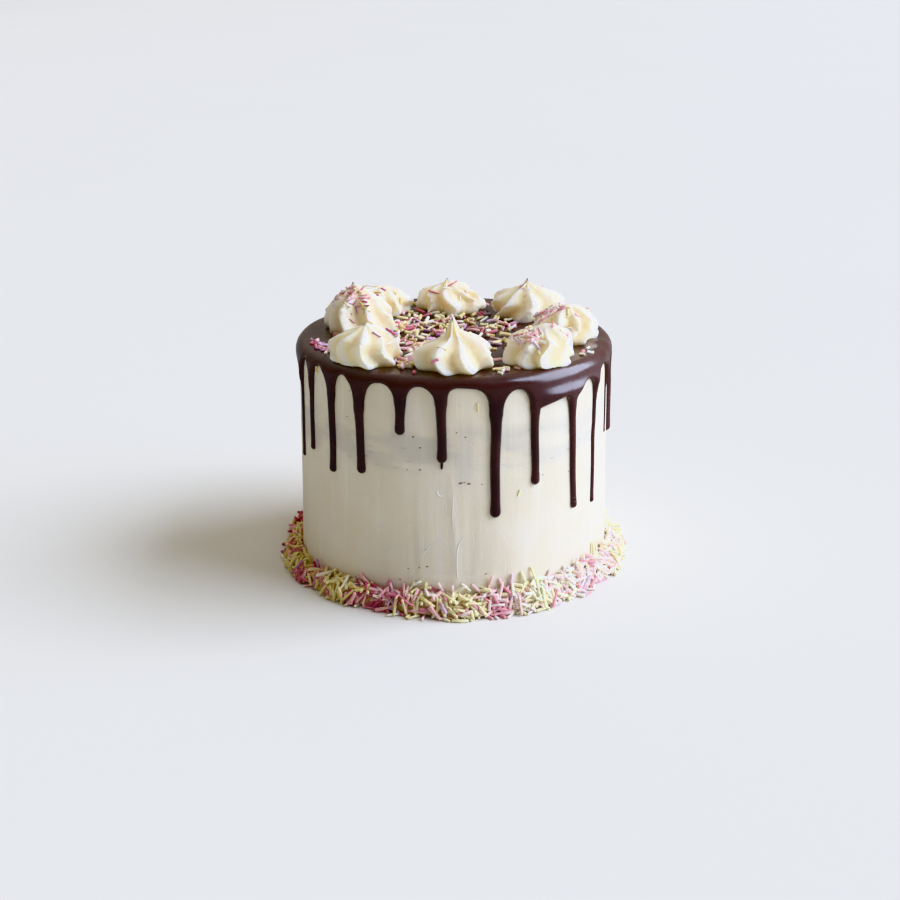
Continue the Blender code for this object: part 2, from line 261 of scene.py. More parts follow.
window = bpy.data.lights.new("window", "AREA")
window.shape = "RECTANGLE"
window.size, window.size_y = WINDOW_SIZE
window.energy = WINDOW_POWER
window.color = WINDOW_COLOUR
window_holder = add_object("window", window)
aside, up = math.radians(WINDOW_AZIMUTH), math.radians(WINDOW_HEIGHT_ANGLE)
towards = Vector((math.cos(aside) * math.cos(up), math.sin(aside) * math.cos(up), math.sin(up)))
window_holder.location = towards * WINDOW_AWAY
window_holder.rotation_euler = towards.to_track_quat("Z", "Y").to_euler()
window_holder.visible_camera = False
print("the window spans", round(math.degrees(2 * math.atan(WINDOW_SIZE[0] / 2 / WINDOW_AWAY))), "degrees")

# %% Room and ceiling
ROOM = (0.27, 0.257, 0.228, 1.0)
CEILING = (0.66, 0.635, 0.59, 1.0)
CEILING_STARTS = (0.15, 0.95)
FRONT_TO_BACK = (-0.8, 0.8)
CAMERA_SIDE = 0.50
FAR_SIDE = 1.35
MIRRORED_SIDE = (0.5, -0.2)
MIRRORED_ROOM = 0.55
MIRRORED_HIGH = 0.3
BEYOND = (0.80, 0.81, 0.83, 1.0)
ONE_SPAN = (0.0, 1.0)

world = bpy.data.worlds.new("room")
world.use_nodes = True
bpy.context.scene.world = world
tree = world.node_tree
tree.nodes.clear()
direction = add_node(tree, "ShaderNodeTexCoord")
parts = add_node(tree, "ShaderNodeSeparateXYZ", {"Vector": direction.outputs["Generated"]})
seen = add_node(tree, "ShaderNodeLightPath")
rise = ramp(tree, parts.outputs["Z"], *CEILING_STARTS)
room = blend_colours(tree, rise, ROOM, CEILING)
far = remap(tree, parts.outputs["Y"], FRONT_TO_BACK, (CAMERA_SIDE, FAR_SIDE))
near_side = remap(tree, parts.outputs["Y"], MIRRORED_SIDE)
low_near = multiply(tree, near_side, remap(tree, rise, ONE_SPAN, (1.0, MIRRORED_HIGH)))
mirrored = multiply(tree, seen.outputs["Is Glossy Ray"], low_near)
level = multiply(tree, far, remap(tree, mirrored, ONE_SPAN, (1.0, MIRRORED_ROOM)))
lit = add_node(tree, "ShaderNodeVectorMath", {0: room, "Scale": level}, operation="SCALE")
shown = blend_colours(tree, seen.outputs["Is Camera Ray"], lit.outputs["Vector"], BEYOND)
glow = add_node(tree, "ShaderNodeBackground", {"Color": shown, "Strength": 1.0})
add_node(tree, "ShaderNodeOutputWorld", {"Surface": glow.outputs["Background"]})
bpy.context.scene.view_settings.view_transform = "Khronos PBR Neutral"
print("the room has", len(tree.nodes), "nodes")

# %% [markdown]
# ## Working by operators
# Most pieces are made as by hand: a primitive is added, shaped in edit mode and finished with
# modifiers. These helpers select one piece, name what was just added, pick parts of a mesh by a
# test on their place, and apply what was put on a piece.

# %% Helpers
def clear_selection():
    if bpy.context.mode != "OBJECT":
        bpy.ops.object.mode_set(mode="OBJECT")
    bpy.ops.object.select_all(action="DESELECT")


def select_only(piece):
    clear_selection()
    piece.select_set(True)
    bpy.context.view_layer.objects.active = piece


def name_new(name):
    """Names the piece that an operator has just added, and opens it in edit mode."""
    made = bpy.context.object
    made.name = name
    made.data.name = name
    bpy.ops.object.mode_set(mode="EDIT")
    return made


def pick(piece, mode, wanted):
    """In edit mode, selects just the vertices, edges or faces that pass the test."""
    bpy.ops.mesh.select_mode(type=mode)
    bpy.ops.mesh.select_all(action="DESELECT")
    edit = bmesh.from_edit_mesh(piece.data)
    for part in {"VERT": edit.verts, "EDGE": edit.edges, "FACE": edit.faces}[mode]:
        if wanted(part):
            part.select_set(True)
    edit.select_flush_mode()
    bmesh.update_edit_mesh(piece.data)


def apply_all(piece):
    """Leaves edit mode and applies the piece's modifiers, then its place, so that its object
    sits at the origin."""
    select_only(piece)
    for modifier in list(piece.modifiers):
        bpy.ops.object.modifier_apply(modifier=modifier.name)
    bpy.ops.object.transform_apply(location=True, rotation=True, scale=True)


def lump(piece, size, strength, depth=2):
    """Displaces a piece along its normals by soft clouds of this size, both in millimetres."""
    clouds = bpy.data.textures.new(piece.name + "_lumps", "CLOUDS")
    clouds.noise_scale = size * MM
    clouds.noise_depth = depth
    push = piece.modifiers.new("lumps", "DISPLACE")
    push.texture = clouds
    push.texture_coords = "LOCAL"
    push.strength = strength * MM
    push.mid_level = 0.5


def subdivide(piece, levels):
    finer = piece.modifiers.new("finer", "SUBSURF")
    finer.levels = levels
    finer.render_levels = levels


def smooth_below(piece, angle):
    """Shades a piece smooth except where its faces meet at more than this angle."""
    select_only(piece)
    bpy.ops.object.shade_smooth_by_angle(angle=math.radians(angle))


def triangles(piece):
    return sum(len(face.vertices) - 2 for face in piece.data.polygons)


def mesh_object(name, points, faces):
    """A mesh piece from points in millimetres and faces."""
    mesh = bpy.data.meshes.new(name)
    mesh.from_pydata([tuple(MM * x for x in point) for point in points], [], faces)
    mesh.validate()
    return add_object(name, mesh)


# %% [markdown]
# ## The finishes
# Buttercream, chocolate and sugar all vary a little from place to place. One node group blends two
# colours by soft noise at a chosen size, and another gives a fine uneven height for the bump.
# Both read Object coordinates, which are metres from the middle of the underside.

# %% Shared node groups
STRETCH = ("Stretch", "Vector", (1.0, 1.0, 1.0))


def new_group(name, inputs, outputs):
    """A shader node group with typed, named sockets, and its input and output nodes."""
    group = bpy.data.node_groups.new(name, "ShaderNodeTree")
    for label, kind, value in inputs:
        socket = group.interface.new_socket(name=label, in_out="INPUT", socket_type="NodeSocket" + kind)
        socket.default_value = value
    for label, kind in outputs:
        group.interface.new_socket(name=label, in_out="OUTPUT", socket_type="NodeSocket" + kind)
    return group, group.nodes.new("NodeGroupInput").outputs, group.nodes.new("NodeGroupOutput").inputs


def scale_place(tree, place, shares):
    made = add_node(tree, "ShaderNodeVectorMath", {0: place, 1: shares}, operation="MULTIPLY")
    return made.outputs["Vector"]


def stretched_noise(group, given, inputs):
    """Noise over the Object coordinates, after the group's own stretch."""
    place = add_node(group, "ShaderNodeTexCoord").outputs["Object"]
    scaled = scale_place(group, place, given["Stretch"])
    return add_node(group, "ShaderNodeTexNoise", {"Vector": scaled, **inputs}).outputs["Fac"]


def make_mottle():
    """Two colours blended by soft noise."""
    inputs = (
        ("Colour", "Color", (0.8, 0.8, 0.8, 1.0)),
        ("Second Colour", "Color", (0.6, 0.6, 0.6, 1.0)),
        ("Patches Per Metre", "Float", 40.0),
        ("Low", "Float", 0.35),
        ("High", "Float", 0.65),
        STRETCH,
    )
    group, given, result = new_group("Mottle", inputs, (("Colour", "Color"), ("Mask", "Float")))
    noise = stretched_noise(group, given, {"Scale": given["Patches Per Metre"], "Detail": 4.0})
    mask = ramp(group, noise, given["Low"], given["High"])
    blend = blend_colours(group, mask, given["Colour"], given["Second Colour"])
    group.links.new(blend, result["Colour"])
    group.links.new(mask, result["Mask"])
    return group


def make_grain():
    """A fine uneven height, stretched along any axis."""
    inputs = (("Grains Per Metre", "Float", 400.0), STRETCH, ("Roughness", "Float", 0.55))
    group, given, result = new_group("Grain", inputs, (("Height", "Float"),))
    sockets = {"Scale": given["Grains Per Metre"], "Detail": 3.0, "Roughness": given["Roughness"]}
    group.links.new(stretched_noise(group, given, sockets), result["Height"])
    return group


MOTTLE = make_mottle()
GRAIN = make_grain()
print("shared groups:", MOTTLE.name, "and", GRAIN.name)

# %% [markdown]
# Each finish is a Principled shader with a few constant sockets. These functions place the shared
# groups in it, take its Object coordinates apart, and feed a height into its normal.

# %% Parts of a finish
def place_group(tree, group, inputs):
    return add_node(tree, "ShaderNodeGroup", inputs, node_tree=group).outputs


def new_finish(name, constants):
    """A material whose Principled shader has these constant sockets, with its tree."""
    made = bpy.data.materials.new(name)
    made.use_nodes = True
    shader = made.node_tree.nodes["Principled BSDF"].inputs
    for socket, value in {"Subsurface Scale": 1.0, **constants}.items():
        shader[socket].default_value = value
    return made, made.node_tree, shader


def coordinates(tree):
    """The Object coordinates, whole and as X, Y and Z."""
    place = add_node(tree, "ShaderNodeTexCoord").outputs["Object"]
    return place, add_node(tree, "ShaderNodeSeparateXYZ", {"Vector": place}).outputs


def place_cells(tree, place, scale):
    return add_node(tree, "ShaderNodeTexVoronoi", {"Vector": place, "Scale": scale}).outputs


def mottle(tree, first, second, patches, **more):
    """Two colours in soft patches, so many to the metre."""
    sockets = {"Colour": first, "Second Colour": second, "Patches Per Metre": patches}
    return place_group(tree, MOTTLE, {**sockets, **more})


def put_bump(tree, shader, height, strength, distance):
    """Feeds a height into the shader's normal. The distance is in millimetres."""
    sockets = {"Height": height, "Strength": strength, "Distance": distance * MM}
    tree.links.new(add_node(tree, "ShaderNodeBump", sockets).outputs["Normal"], shader["Normal"])


def put_grain(tree, shader, grains, strength, distance, roughness=0.55):
    fine = place_group(tree, GRAIN, {"Grains Per Metre": grains, "Roughness": roughness})
    put_bump(tree, shader, fine["Height"], strength, distance)


# %% [markdown]
# The scraped wall is ivory buttercream, soft and nearly matt, and light goes a little way into it.
# The scraper has dragged a few crumbs through it at mid height, which show as grey flecks drawn out
# sideways, and has left faint upright streaks and small pits. Low down in front the coat is thin and looks
# damp, and above it is a grey smudge. The lines that the scraper left standing are painted paler than the
# wall, as a painted highlight where they catch the light.

# %% The wall's colours and places
IVORY = (0.850, 0.777, 0.622, 1.0)
IVORY_DEEP = (0.825, 0.737, 0.562, 1.0)
# Painted highlight: the paler ivory of the scraper's lines stands in for the light they catch.
HIGHLIGHT_IVORY = (0.92, 0.87, 0.76, 1.0)
HIGHLIGHT_IVORY_DEEP = (0.88, 0.82, 0.69, 1.0)
STREAK_IVORY = (0.87, 0.82, 0.69, 1.0)
DAMP_IVORY = (0.68, 0.63, 0.52, 1.0)
CRUMB_GREY = (0.50, 0.475, 0.43, 1.0)
SMUDGE_GREY = (0.60, 0.56, 0.49, 1.0)
CREAM_DEPTH = (0.0030, 0.0021, 0.0012)
UPRIGHT_PATCHES = (1.0, 1.0, 0.07)
UPRIGHT_GRAIN = (1.0, 1.0, 0.05)
FLECK_SQUEEZE = (1.0, 1.0, 3.6)
PATCH_SQUEEZE = (1.0, 1.0, 2.6)
FLECK_EDGES = (("Z", 0.066, 0.074), ("Z", 0.094, 0.086))
DAMP_EDGES = (
    ("X", -0.050, -0.036), ("X", 0.034, 0.016), ("Y", 0.0, -0.02), ("Z", 0.006, 0.011), ("Z", 0.046, 0.028),
)
SMUDGE_EDGES = (
    ("X", -0.001, 0.004), ("X", 0.013, 0.007), ("Y", 0.0, -0.02), ("Z", 0.056, 0.072), ("Z", 0.099, 0.088),
)
FLECK_MOST = 0.9
HAZE_MOST = 0.42
DAMP_MOST = 0.40
SMUDGE_MOST = 0.75


def within(tree, parts, edges, most):
    """`most` inside the soft edges given as an axis and where it starts from none and is full."""
    share = most
    for axis, none, full in edges:
        share = multiply(tree, ramp(tree, parts[axis], none, full), share)
    return share


# %% Scraped buttercream
def add_flecks(tree, place, parts, colour):
    """A hazy band at mid height with grey flecks in it."""
    sockets = {"Patches Per Metre": 28.0, "Low": 0.40, "High": 0.60, "Stretch": PATCH_SQUEEZE}
    patches = place_group(tree, MOTTLE, sockets)["Mask"]
    band = multiply(tree, within(tree, parts, FLECK_EDGES, 1.0), patches)
    flecks = place_cells(tree, scale_place(tree, place, FLECK_SQUEEZE), 150.0)
    fleck = ramp(tree, flecks["Distance"], 0.34, 0.14)
    few = ramp(tree, flecks["Color"], 0.55, 0.75)
    hazed = blend_colours(tree, multiply(tree, band, HAZE_MOST), colour, CRUMB_GREY)
    grey_share = multiply(tree, multiply(tree, multiply(tree, fleck, few), band), FLECK_MOST)
    return blend_colours(tree, grey_share, hazed, CRUMB_GREY)


def pit_height(tree, place):
    """1 all over, down to 0 in a few small pits."""
    pits = place_cells(tree, place, 300.0)
    pit = ramp(tree, pits["Distance"], 0.05, 0.22)
    rare = ramp(tree, pits["Color"], 0.80, 0.84)
    mixed = add_node(tree, "ShaderNodeMix", {"Factor": rare, "A": 1.0, "B": pit}, data_type="FLOAT")
    return mixed.outputs["Result"]


def scraped_buttercream(name, colour, deep_colour):
    soft = {"Roughness": 0.5, "Subsurface Weight": 0.22, "Subsurface Radius": CREAM_DEPTH, "IOR": 1.44}
    made, tree, shader = new_finish(name, soft)
    place, parts = coordinates(tree)
    base = mottle(tree, colour, deep_colour, 34.0)["Colour"]
    streaks = mottle(tree, base, STREAK_IVORY, 260.0, Low=0.5, High=0.85, Stretch=UPRIGHT_PATCHES)
    drawn = place_group(tree, GRAIN, {"Grains Per Metre": 420.0, "Stretch": UPRIGHT_GRAIN})["Height"]
    flecked = add_flecks(tree, place, parts, streaks["Colour"])
    damp = multiply(tree, within(tree, parts, DAMP_EDGES, DAMP_MOST), drawn)
    damped = blend_colours(tree, damp, flecked, DAMP_IVORY)
    smudge = multiply(tree, within(tree, parts, SMUDGE_EDGES, SMUDGE_MOST), drawn)
    tree.links.new(blend_colours(tree, smudge, damped, SMUDGE_GREY), shader["Base Color"])
    fine = place_group(tree, GRAIN, {"Grains Per Metre": 900.0})["Height"]
    total = combine(tree, "ADD", combine(tree, "ADD", drawn, fine), pit_height(tree, place))
    put_bump(tree, shader, total, 0.35, 0.35)
    return made


WALL_FINISH = scraped_buttercream("scraped_buttercream", IVORY, IVORY_DEEP)
# The scraper's lines get the paler colours as a painted highlight.
MARK_HIGHLIGHT_FINISH = scraped_buttercream("scraped_lines_painted_highlight", HIGHLIGHT_IVORY, HIGHLIGHT_IVORY_DEEP)
print("the wall's finish has", len(WALL_FINISH.node_tree.nodes), "nodes")

# %% [markdown]
# Set dark ganache is nearly black in the drips. At the rim and on top it is painted browner, as painted
# light where light reaches it from above, and on the side by the window it is browner still, as painted
# window light. It is glossy, but its shine is softened a little from place to place, as on a surface that
# set slowly.

# %% Poured chocolate
GANACHE = (0.024, 0.0088, 0.0080, 1.0)
GANACHE_BROWN = (0.050, 0.0170, 0.0135, 1.0)
RIM_LIGHT_GANACHE = (0.066, 0.0250, 0.0190, 1.0)
RIM_LIGHT_SPAN = (0.100, 0.114)
RIM_LIGHT_MOST = 0.8
WINDOW_LIT_GANACHE = (0.120, 0.0480, 0.0400, 1.0)
WINDOW_LIT_SPAN = (0.012, 0.068)
WINDOW_LIT_MOST = 0.5
SHINE = (0.17, 0.29)


def poured_ganache():
    made, tree, shader = new_finish("poured_ganache", {"IOR": 1.62, "Specular IOR Level": 0.5})
    base = mottle(tree, GANACHE, GANACHE_BROWN, 55.0)
    parts = coordinates(tree)[1]
    # Painted light: the rim and top turn browner, as if lit from above.
    rim = multiply(tree, ramp(tree, parts["Z"], *RIM_LIGHT_SPAN), RIM_LIGHT_MOST)
    rim_lit_colour = blend_colours(tree, rim, base["Colour"], RIM_LIGHT_GANACHE)
    # Painted light: the window side, towards +X, turns a brighter brown.
    window_lit_share = multiply(tree, ramp(tree, parts["X"], *WINDOW_LIT_SPAN), WINDOW_LIT_MOST)
    tree.links.new(blend_colours(tree, window_lit_share, rim_lit_colour, WINDOW_LIT_GANACHE), shader["Base Color"])
    tree.links.new(remap(tree, base["Mask"], ONE_SPAN, SHINE), shader["Roughness"])
    put_grain(tree, shader, 260.0, 0.12, 0.25)
    return made


CHOCOLATE_FINISH = poured_ganache()
print("the chocolate's finish has", len(CHOCOLATE_FINISH.node_tree.nodes), "nodes")

# %% [markdown]
# The piped swirls are the same buttercream, but fresh from the bag: satin. Down in the folds the colour is
# painted yellower and darker, as painted shade and light bounced from cream to cream, which leaves the
# ridges whiter. How deep a point lies in a fold is worked out from the mesh and kept as the attribute
# "fold".

# %% Piped buttercream
CREAM = (0.994, 0.870, 0.760, 1.0)
CREAM_WARM = (0.988, 0.845, 0.685, 1.0)
# Painted shade colour for the folds.
FOLD_SHADE_CREAM = (0.98, 0.78, 0.40, 1.0)
PIPED_DEPTH = (0.0058, 0.0042, 0.0023)
FOLD_SHADE_SPAN = (0.25, 1.0)
FOLD_SHADE_MOST = 0.70


def piped_buttercream():
    soft = {"Roughness": 0.42, "Subsurface Weight": 0.75, "Subsurface Radius": PIPED_DEPTH, "IOR": 1.45}
    made, tree, shader = new_finish("piped_buttercream", soft)
    base = mottle(tree, CREAM, CREAM_WARM, 90.0)
    fold = add_node(tree, "ShaderNodeAttribute", attribute_name="fold").outputs["Fac"]
    # Painted shade: the deeper a point lies in a fold, the more of the fold colour it gets.
    share = multiply(tree, ramp(tree, fold, *FOLD_SHADE_SPAN), FOLD_SHADE_MOST)
    tree.links.new(blend_colours(tree, share, base["Colour"], FOLD_SHADE_CREAM), shader["Base Color"])
    put_grain(tree, shader, 520.0, 0.25, 0.3, roughness=0.6)
    return made


PIPED_FINISH = piped_buttercream()
print("the swirls' finish has", len(PIPED_FINISH.node_tree.nodes), "nodes")

# %% [markdown]
# Each strand is a rod of coloured sugar, smooth and slightly shiny. Each has its own value in an attribute
# that turns its colour a little paler or deeper: partly by chance, as strands of one colour aren't quite
# alike, and partly as painted light, paler towards the window and deeper in shade. The sugar is cloudier in
# places.

# %% Sugar strands
# Each colour runs from a deep to a pale end; the blend between them is partly chance and partly painted
# window light and shade.
STRAND_COLOURS = {
    "rose": ((0.50, 0.08, 0.14), (0.96, 0.54, 0.57)),
    "pale_pink": ((0.80, 0.39, 0.38), (1.0, 0.87, 0.80)),
    "yellow": ((0.77, 0.61, 0.215), (1.0, 0.96, 0.68)),
    "white": ((0.90, 0.80, 0.60), (1.0, 0.96, 0.84)),
    "lilac": ((0.46, 0.20, 0.35), (0.90, 0.74, 0.82)),
}
CLOUDY_SUGAR = (0.92, 0.88, 0.82, 1.0)
SUGAR_DEPTH = (0.0006, 0.0005, 0.0004)


def sugar(colour):
    soft = {"Roughness": 0.5, "Subsurface Weight": 0.6, "Subsurface Radius": SUGAR_DEPTH, "IOR": 1.5}
    made, tree, shader = new_finish("sugar_" + colour, {**soft, "Specular IOR Level": 0.22})
    deep, pale = STRAND_COLOURS[colour]
    # The attribute read here is partly chance tint and partly painted window light.
    tint_and_window_light = add_node(tree, "ShaderNodeAttribute", attribute_name="tint_and_window_light").outputs["Fac"]
    own = blend_colours(tree, tint_and_window_light, (*deep, 1.0), (*pale, 1.0))
    cloudy = mottle(tree, own, CLOUDY_SUGAR, 700.0, Low=0.55, High=0.95)
    tree.links.new(cloudy["Colour"], shader["Base Color"])
    put_grain(tree, shader, 1500.0, 0.2, 0.1)
    return made


# %% Dress a piece
def dress(piece, material, nodes=()):
    """Gives a finished piece its material and body, and hides the nodes that it stands for."""
    piece.data.materials.clear()
    piece.data.materials.append(material)
    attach(piece, "root")
    if nodes:
        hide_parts(*nodes)
    print(piece.name, "has", triangles(piece), "triangles")


# %% [markdown]
# ## Floor
# The cake stands on a plain pale surface that runs far back, so no horizon shows.

# %% Floor
FLOOR_SIZE = 60.0
FLOOR_PALE = (0.81, 0.78, 0.705, 1.0)
FLOOR_DEEPER = (0.80, 0.77, 0.695, 1.0)
FLOOR_MIRRORED = (0.02, 0.02, 0.02, 1.0)
FLOOR_DARKENED = 0.62

clear_selection()
bpy.ops.mesh.primitive_plane_add(size=FLOOR_SIZE, location=(0.0, 0.0, 0.0))
floor = bpy.context.object
floor.name = "floor"
floor_finish, tree, shader = new_finish("pale_floor", {"Roughness": 0.75, "IOR": 1.3})
pale = mottle(tree, FLOOR_PALE, FLOOR_DEEPER, 2.0)
mirrored = add_node(tree, "ShaderNodeLightPath").outputs["Is Glossy Ray"]
darker = multiply(tree, mirrored, FLOOR_DARKENED)
tree.links.new(blend_colours(tree, darker, pale["Colour"], FLOOR_MIRRORED), shader["Base Color"])
floor.data.materials.append(floor_finish)
print("the floor is", FLOOR_SIZE, "metres wide")

# %% [markdown]
# ## The buttercream coat
# A turned shape starts from a cylinder. Its top is drawn in to give the wall its lean, the top
# edge is bevelled, and the upright edges are cut into many short ones. Then each vertex of the
# wall is moved in or out by the function above, as the scraper left it.

# %% Coat
COAT_SIDES = 480
COAT_CUTS = 104
EDGE_SEGMENTS = 6


def bevel_round(offset, segments):
    """Bevels the edge round the picked faces."""
    bpy.ops.mesh.region_to_loop()
    bpy.ops.mesh.bevel(offset=offset * MM, segments=segments, profile=0.5, affect="EDGES")


def cut_upright_edges(piece, height, cuts):
    """Cuts the edges that run up most of the piece's height."""
    tall = 0.5 * height * MM
    pick(piece, "EDGE", lambda edge: abs(edge.verts[0].co.z - edge.verts[1].co.z) > tall)
    bpy.ops.mesh.subdivide_edgering(number_cuts=cuts, interpolation="LINEAR")


def make_coat():
    clear_selection()
    bpy.ops.mesh.primitive_cylinder_add(
        vertices=COAT_SIDES,
        radius=FOOT_RADIUS * MM,
        depth=CAKE_HEIGHT * MM,
        location=(0.0, 0.0, CAKE_HEIGHT / 2 * MM),
    )
    piece = name_new("buttercream_coat")
    pick(piece, "FACE", lambda face: face.normal.z > 0.9)
    draw_in = wall_radius(CAKE_HEIGHT) / FOOT_RADIUS
    bpy.ops.transform.resize(value=(draw_in, draw_in, 1.0), center_override=(0.0, 0.0, CAKE_HEIGHT * MM))
    bevel_round(EDGE_ROUND, EDGE_SEGMENTS)
    cut_upright_edges(piece, CAKE_HEIGHT, COAT_CUTS)
    apply_all(piece)
    for vertex in piece.data.vertices:
        spot = vertex.co / MM
        radius = math.hypot(spot.x, spot.y)
        if radius > FLAT_REACH and spot.z < CAKE_HEIGHT - EDGE_ROUND:
            grow = 1 + coat_relief(angle_of(spot), spot.z) / radius
            vertex.co.x *= grow
            vertex.co.y *= grow
    smooth_below(piece, 35.0)
    return piece


dress(make_coat(), WALL_FINISH, ["cake"])

# %% [markdown]
# Where the scraper's corner dug in or was lifted off, it left thin curved lines of cream that catch the
# light; their paler colour is a painted highlight. They are tapered curves, sunk into the wall so that only
# a low ridge shows, turned into a mesh and joined as one piece. Each is given by angle and height on the
# wall.

# %% Scraper marks
SMEARS = (
    (0.40, ((-27.4, 19.6), (-27.2, 22.6), (-26.0, 25.4), (-23.0, 28.4), (-19.6, 31.2), (-16.8, 32.4))),
    (0.36, ((-27.4, 19.4), (-26.2, 18.2), (-22.2, 17.6), (-17.0, 17.6))),
    (0.42, ((-10.6, 26.6), (-10.2, 29.4), (-8.6, 32.4), (-5.6, 35.6), (-2.4, 37.6))),
    (0.46, ((1.7, 13.0), (1.4, 18.0), (1.2, 26.0), (1.5, 33.2), (3.0, 37.2), (5.4, 40.2))),
    (0.46, ((0.3, 40.0), (-0.3, 47.0), (-0.1, 56.0), (0.4, 64.0))),
    (0.75, ((-5.2, 62.4), (-5.5, 60.0), (-4.9, 58.4), (-3.8, 58.2), (-3.2, 59.6))),
    (0.36, ((-4.9, 76.0), (-5.4, 70.0), (-5.2, 63.0))),
    (
        0.36,
        ((-22.0, 17.5), (-12.0, 17.8), (-1.0, 18.1), (4.4, 17.6), (10.8, 16.9), (16.0, 15.2), (21.0, 13.7)),
    ),
    (0.36, ((-3.2, 57.0), (-2.0, 54.2), (-2.4, 50.0))),
    (0.32, ((-11.3, 46.0), (-11.5, 36.0), (-11.2, 21.4))),
    (0.30, ((-10.3, 42.0), (-10.4, 33.0), (-10.2, 26.0))),
    (0.34, ((6.2, 42.0), (7.4, 36.0), (7.0, 29.5))),
    (0.32, ((9.6, 33.0), (10.2, 28.0), (9.4, 24.0))),
    (0.30, ((16.0, 27.0), (17.4, 22.0), (17.0, 18.0))),
    (0.30, ((-21.0, 96.0), (-20.6, 88.0), (-21.2, 80.0))),
)
SMEAR_SUNK = 0.50


def make_smear(radius, stops):
    """One tapered ridge of cream along a line on the wall."""
    curve = bpy.data.curves.new("smear", "CURVE")
    curve.dimensions = "3D"
    curve.bevel_depth = radius * MM
    curve.bevel_resolution = 2
    curve.resolution_u = 8
    curve.use_fill_caps = True
    line = curve.splines.new("NURBS")
    line.points.add(len(stops) - 1)
    line.order_u = 3
    line.use_endpoint_u = True
    for number, (point, (angle, height)) in enumerate(zip(line.points, stops)):
        spot = coat_point(reach_at(height), angle, -radius * SMEAR_SUNK) * MM
        point.co = (*spot, 1.0)
        share = number / (len(stops) - 1)
        point.radius = 0.25 + 0.75 * math.sin(math.pi * (0.08 + 0.84 * share))
    return add_object("smear", curve)


def join_pieces(pieces, name):
    clear_selection()
    for piece in pieces:
        piece.select_set(True)
    bpy.context.view_layer.objects.active = pieces[0]
    bpy.ops.object.convert(target="MESH")
    bpy.ops.object.join()
    joined = bpy.context.object
    joined.name = name
    joined.data.name = name
    bpy.ops.object.shade_smooth()
    return joined


marks = join_pieces([make_smear(*smear) for smear in SMEARS], "scraper_marks")
dress(marks, MARK_HIGHLIGHT_FINISH)

# %% [markdown]
# A few crumbs of the sponge were caught in the cream: two brown ones at mid height and smaller
# grey and brown ones about them and near the foot. Each is a small lumpy ball, given by angle,
# height and size.

# %% Crumbs
CRUMBS = (
    (2.6, 64.9, 0.75), (3.9, 65.1, 0.45), (5.5, 64.4, 0.65), (9.9, 63.8, 0.35), (-11.3, 81.6, 0.40),
    (-13.7, 86.6, 0.45), (-11.3, 70.9, 0.50), (-15.9, 70.4, 0.30), (4.2, 87.2, 0.45), (1.2, 89.4, 0.35),
    (-8.9, 22.7, 0.50), (-11.6, 22.0, 0.40), (-15.6, 20.8, 0.35), (-9.4, 31.4, 0.30), (11.4, 18.8, 0.40),
    (46.4, 76.0, 0.40), (45.0, 62.2, 0.35), (32.8, 64.4, 0.35), (-18.6, 14.6, 0.45), (-40.0, 91.0, 0.3),
    (-38.6, 104.0, 0.35), (131.0, 71.0, 0.4), (163.0, 52.0, 0.35), (-152.0, 64.0, 0.4), (-101.0, 43.0, 0.4),
)
CRUMB_SHAPE = (1.35, 0.55, 0.72)
CRUMB_TURN = 17.0
CRUMB_BROWN = (0.13, 0.065, 0.048, 1.0)
CRUMB_PALE = (0.30, 0.22, 0.17, 1.0)


def make_crumb(angle, height, size):
    """One crumb, half sunk in the wall and drawn out sideways."""
    bpy.ops.mesh.primitive_ico_sphere_add(subdivisions=2, radius=size * MM)
    crumb = bpy.context.object
    crumb.scale = CRUMB_SHAPE
    crumb.rotation_euler = (0.0, math.radians(CRUMB_TURN * math.sin(angle * 9.1)), math.radians(angle))
    crumb.location = coat_point(reach_at(height), angle, 0.02) * MM
    lump(crumb, 0.9, 0.5 * size)
    apply_all(crumb)
    return crumb


def crumb_finish():
    made, tree, shader = new_finish("sponge_crumb", {"Roughness": 0.8})
    tree.links.new(mottle(tree, CRUMB_BROWN, CRUMB_PALE, 160.0)["Colour"], shader["Base Color"])
    put_grain(tree, shader, 1800.0, 0.5, 0.2)
    return made


crumbs = join_pieces([make_crumb(*crumb) for crumb in CRUMBS], "crumbs")
dress(crumbs, crumb_finish())

# %% [markdown]
# ## The poured chocolate
# A pour has one smooth skin from the top, over the edge and down every drip, and its gloss shows
# each wobble in a mesh. Extruded by hand it would ripple, so it is made another way, as a sheet
# of points from a few measures of each drip. First come the drips themselves, and where the
# chocolate ends between them.

# %% The drips
BAND_DEPTH = 2.15
GLAZE_DEPTH = 1.95
SEAT = 0.05
BEAD_WIDTH = 2.0
STEM_DEPTH = 0.46
BULB_SWELL = 1.12
BULB_REACH = 3.2
FLARE_START = 1.28
FLARE_LENGTH = 3.0
TAPER_LENGTH = 45.0
WAVER = 0.22
WAVER_PITCH = 6.5
WAVER_BEGINS = (0.0, 8.0)
BACK_DRIPS = 14
BACK_START = 15.0
BACK_STEP = 13.1
BACK_SEED = 11


class Drip(NamedTuple):
    """A run of chocolate, and the arch between it and the next.

    arch is how far below the cake's top the chocolate ends in the arch, flare the height over
    which the drip narrows, skew moves the arch's crown to one side, sway is how far the
    drip's top is to the right of its tip, and boxy says how square the arch is: 2 is round.
    """

    angle: float
    tip: float
    width: float
    arch: float
    flare: float
    skew: float = 0.0
    sway: float = 0.0
    boxy: float = 2.3


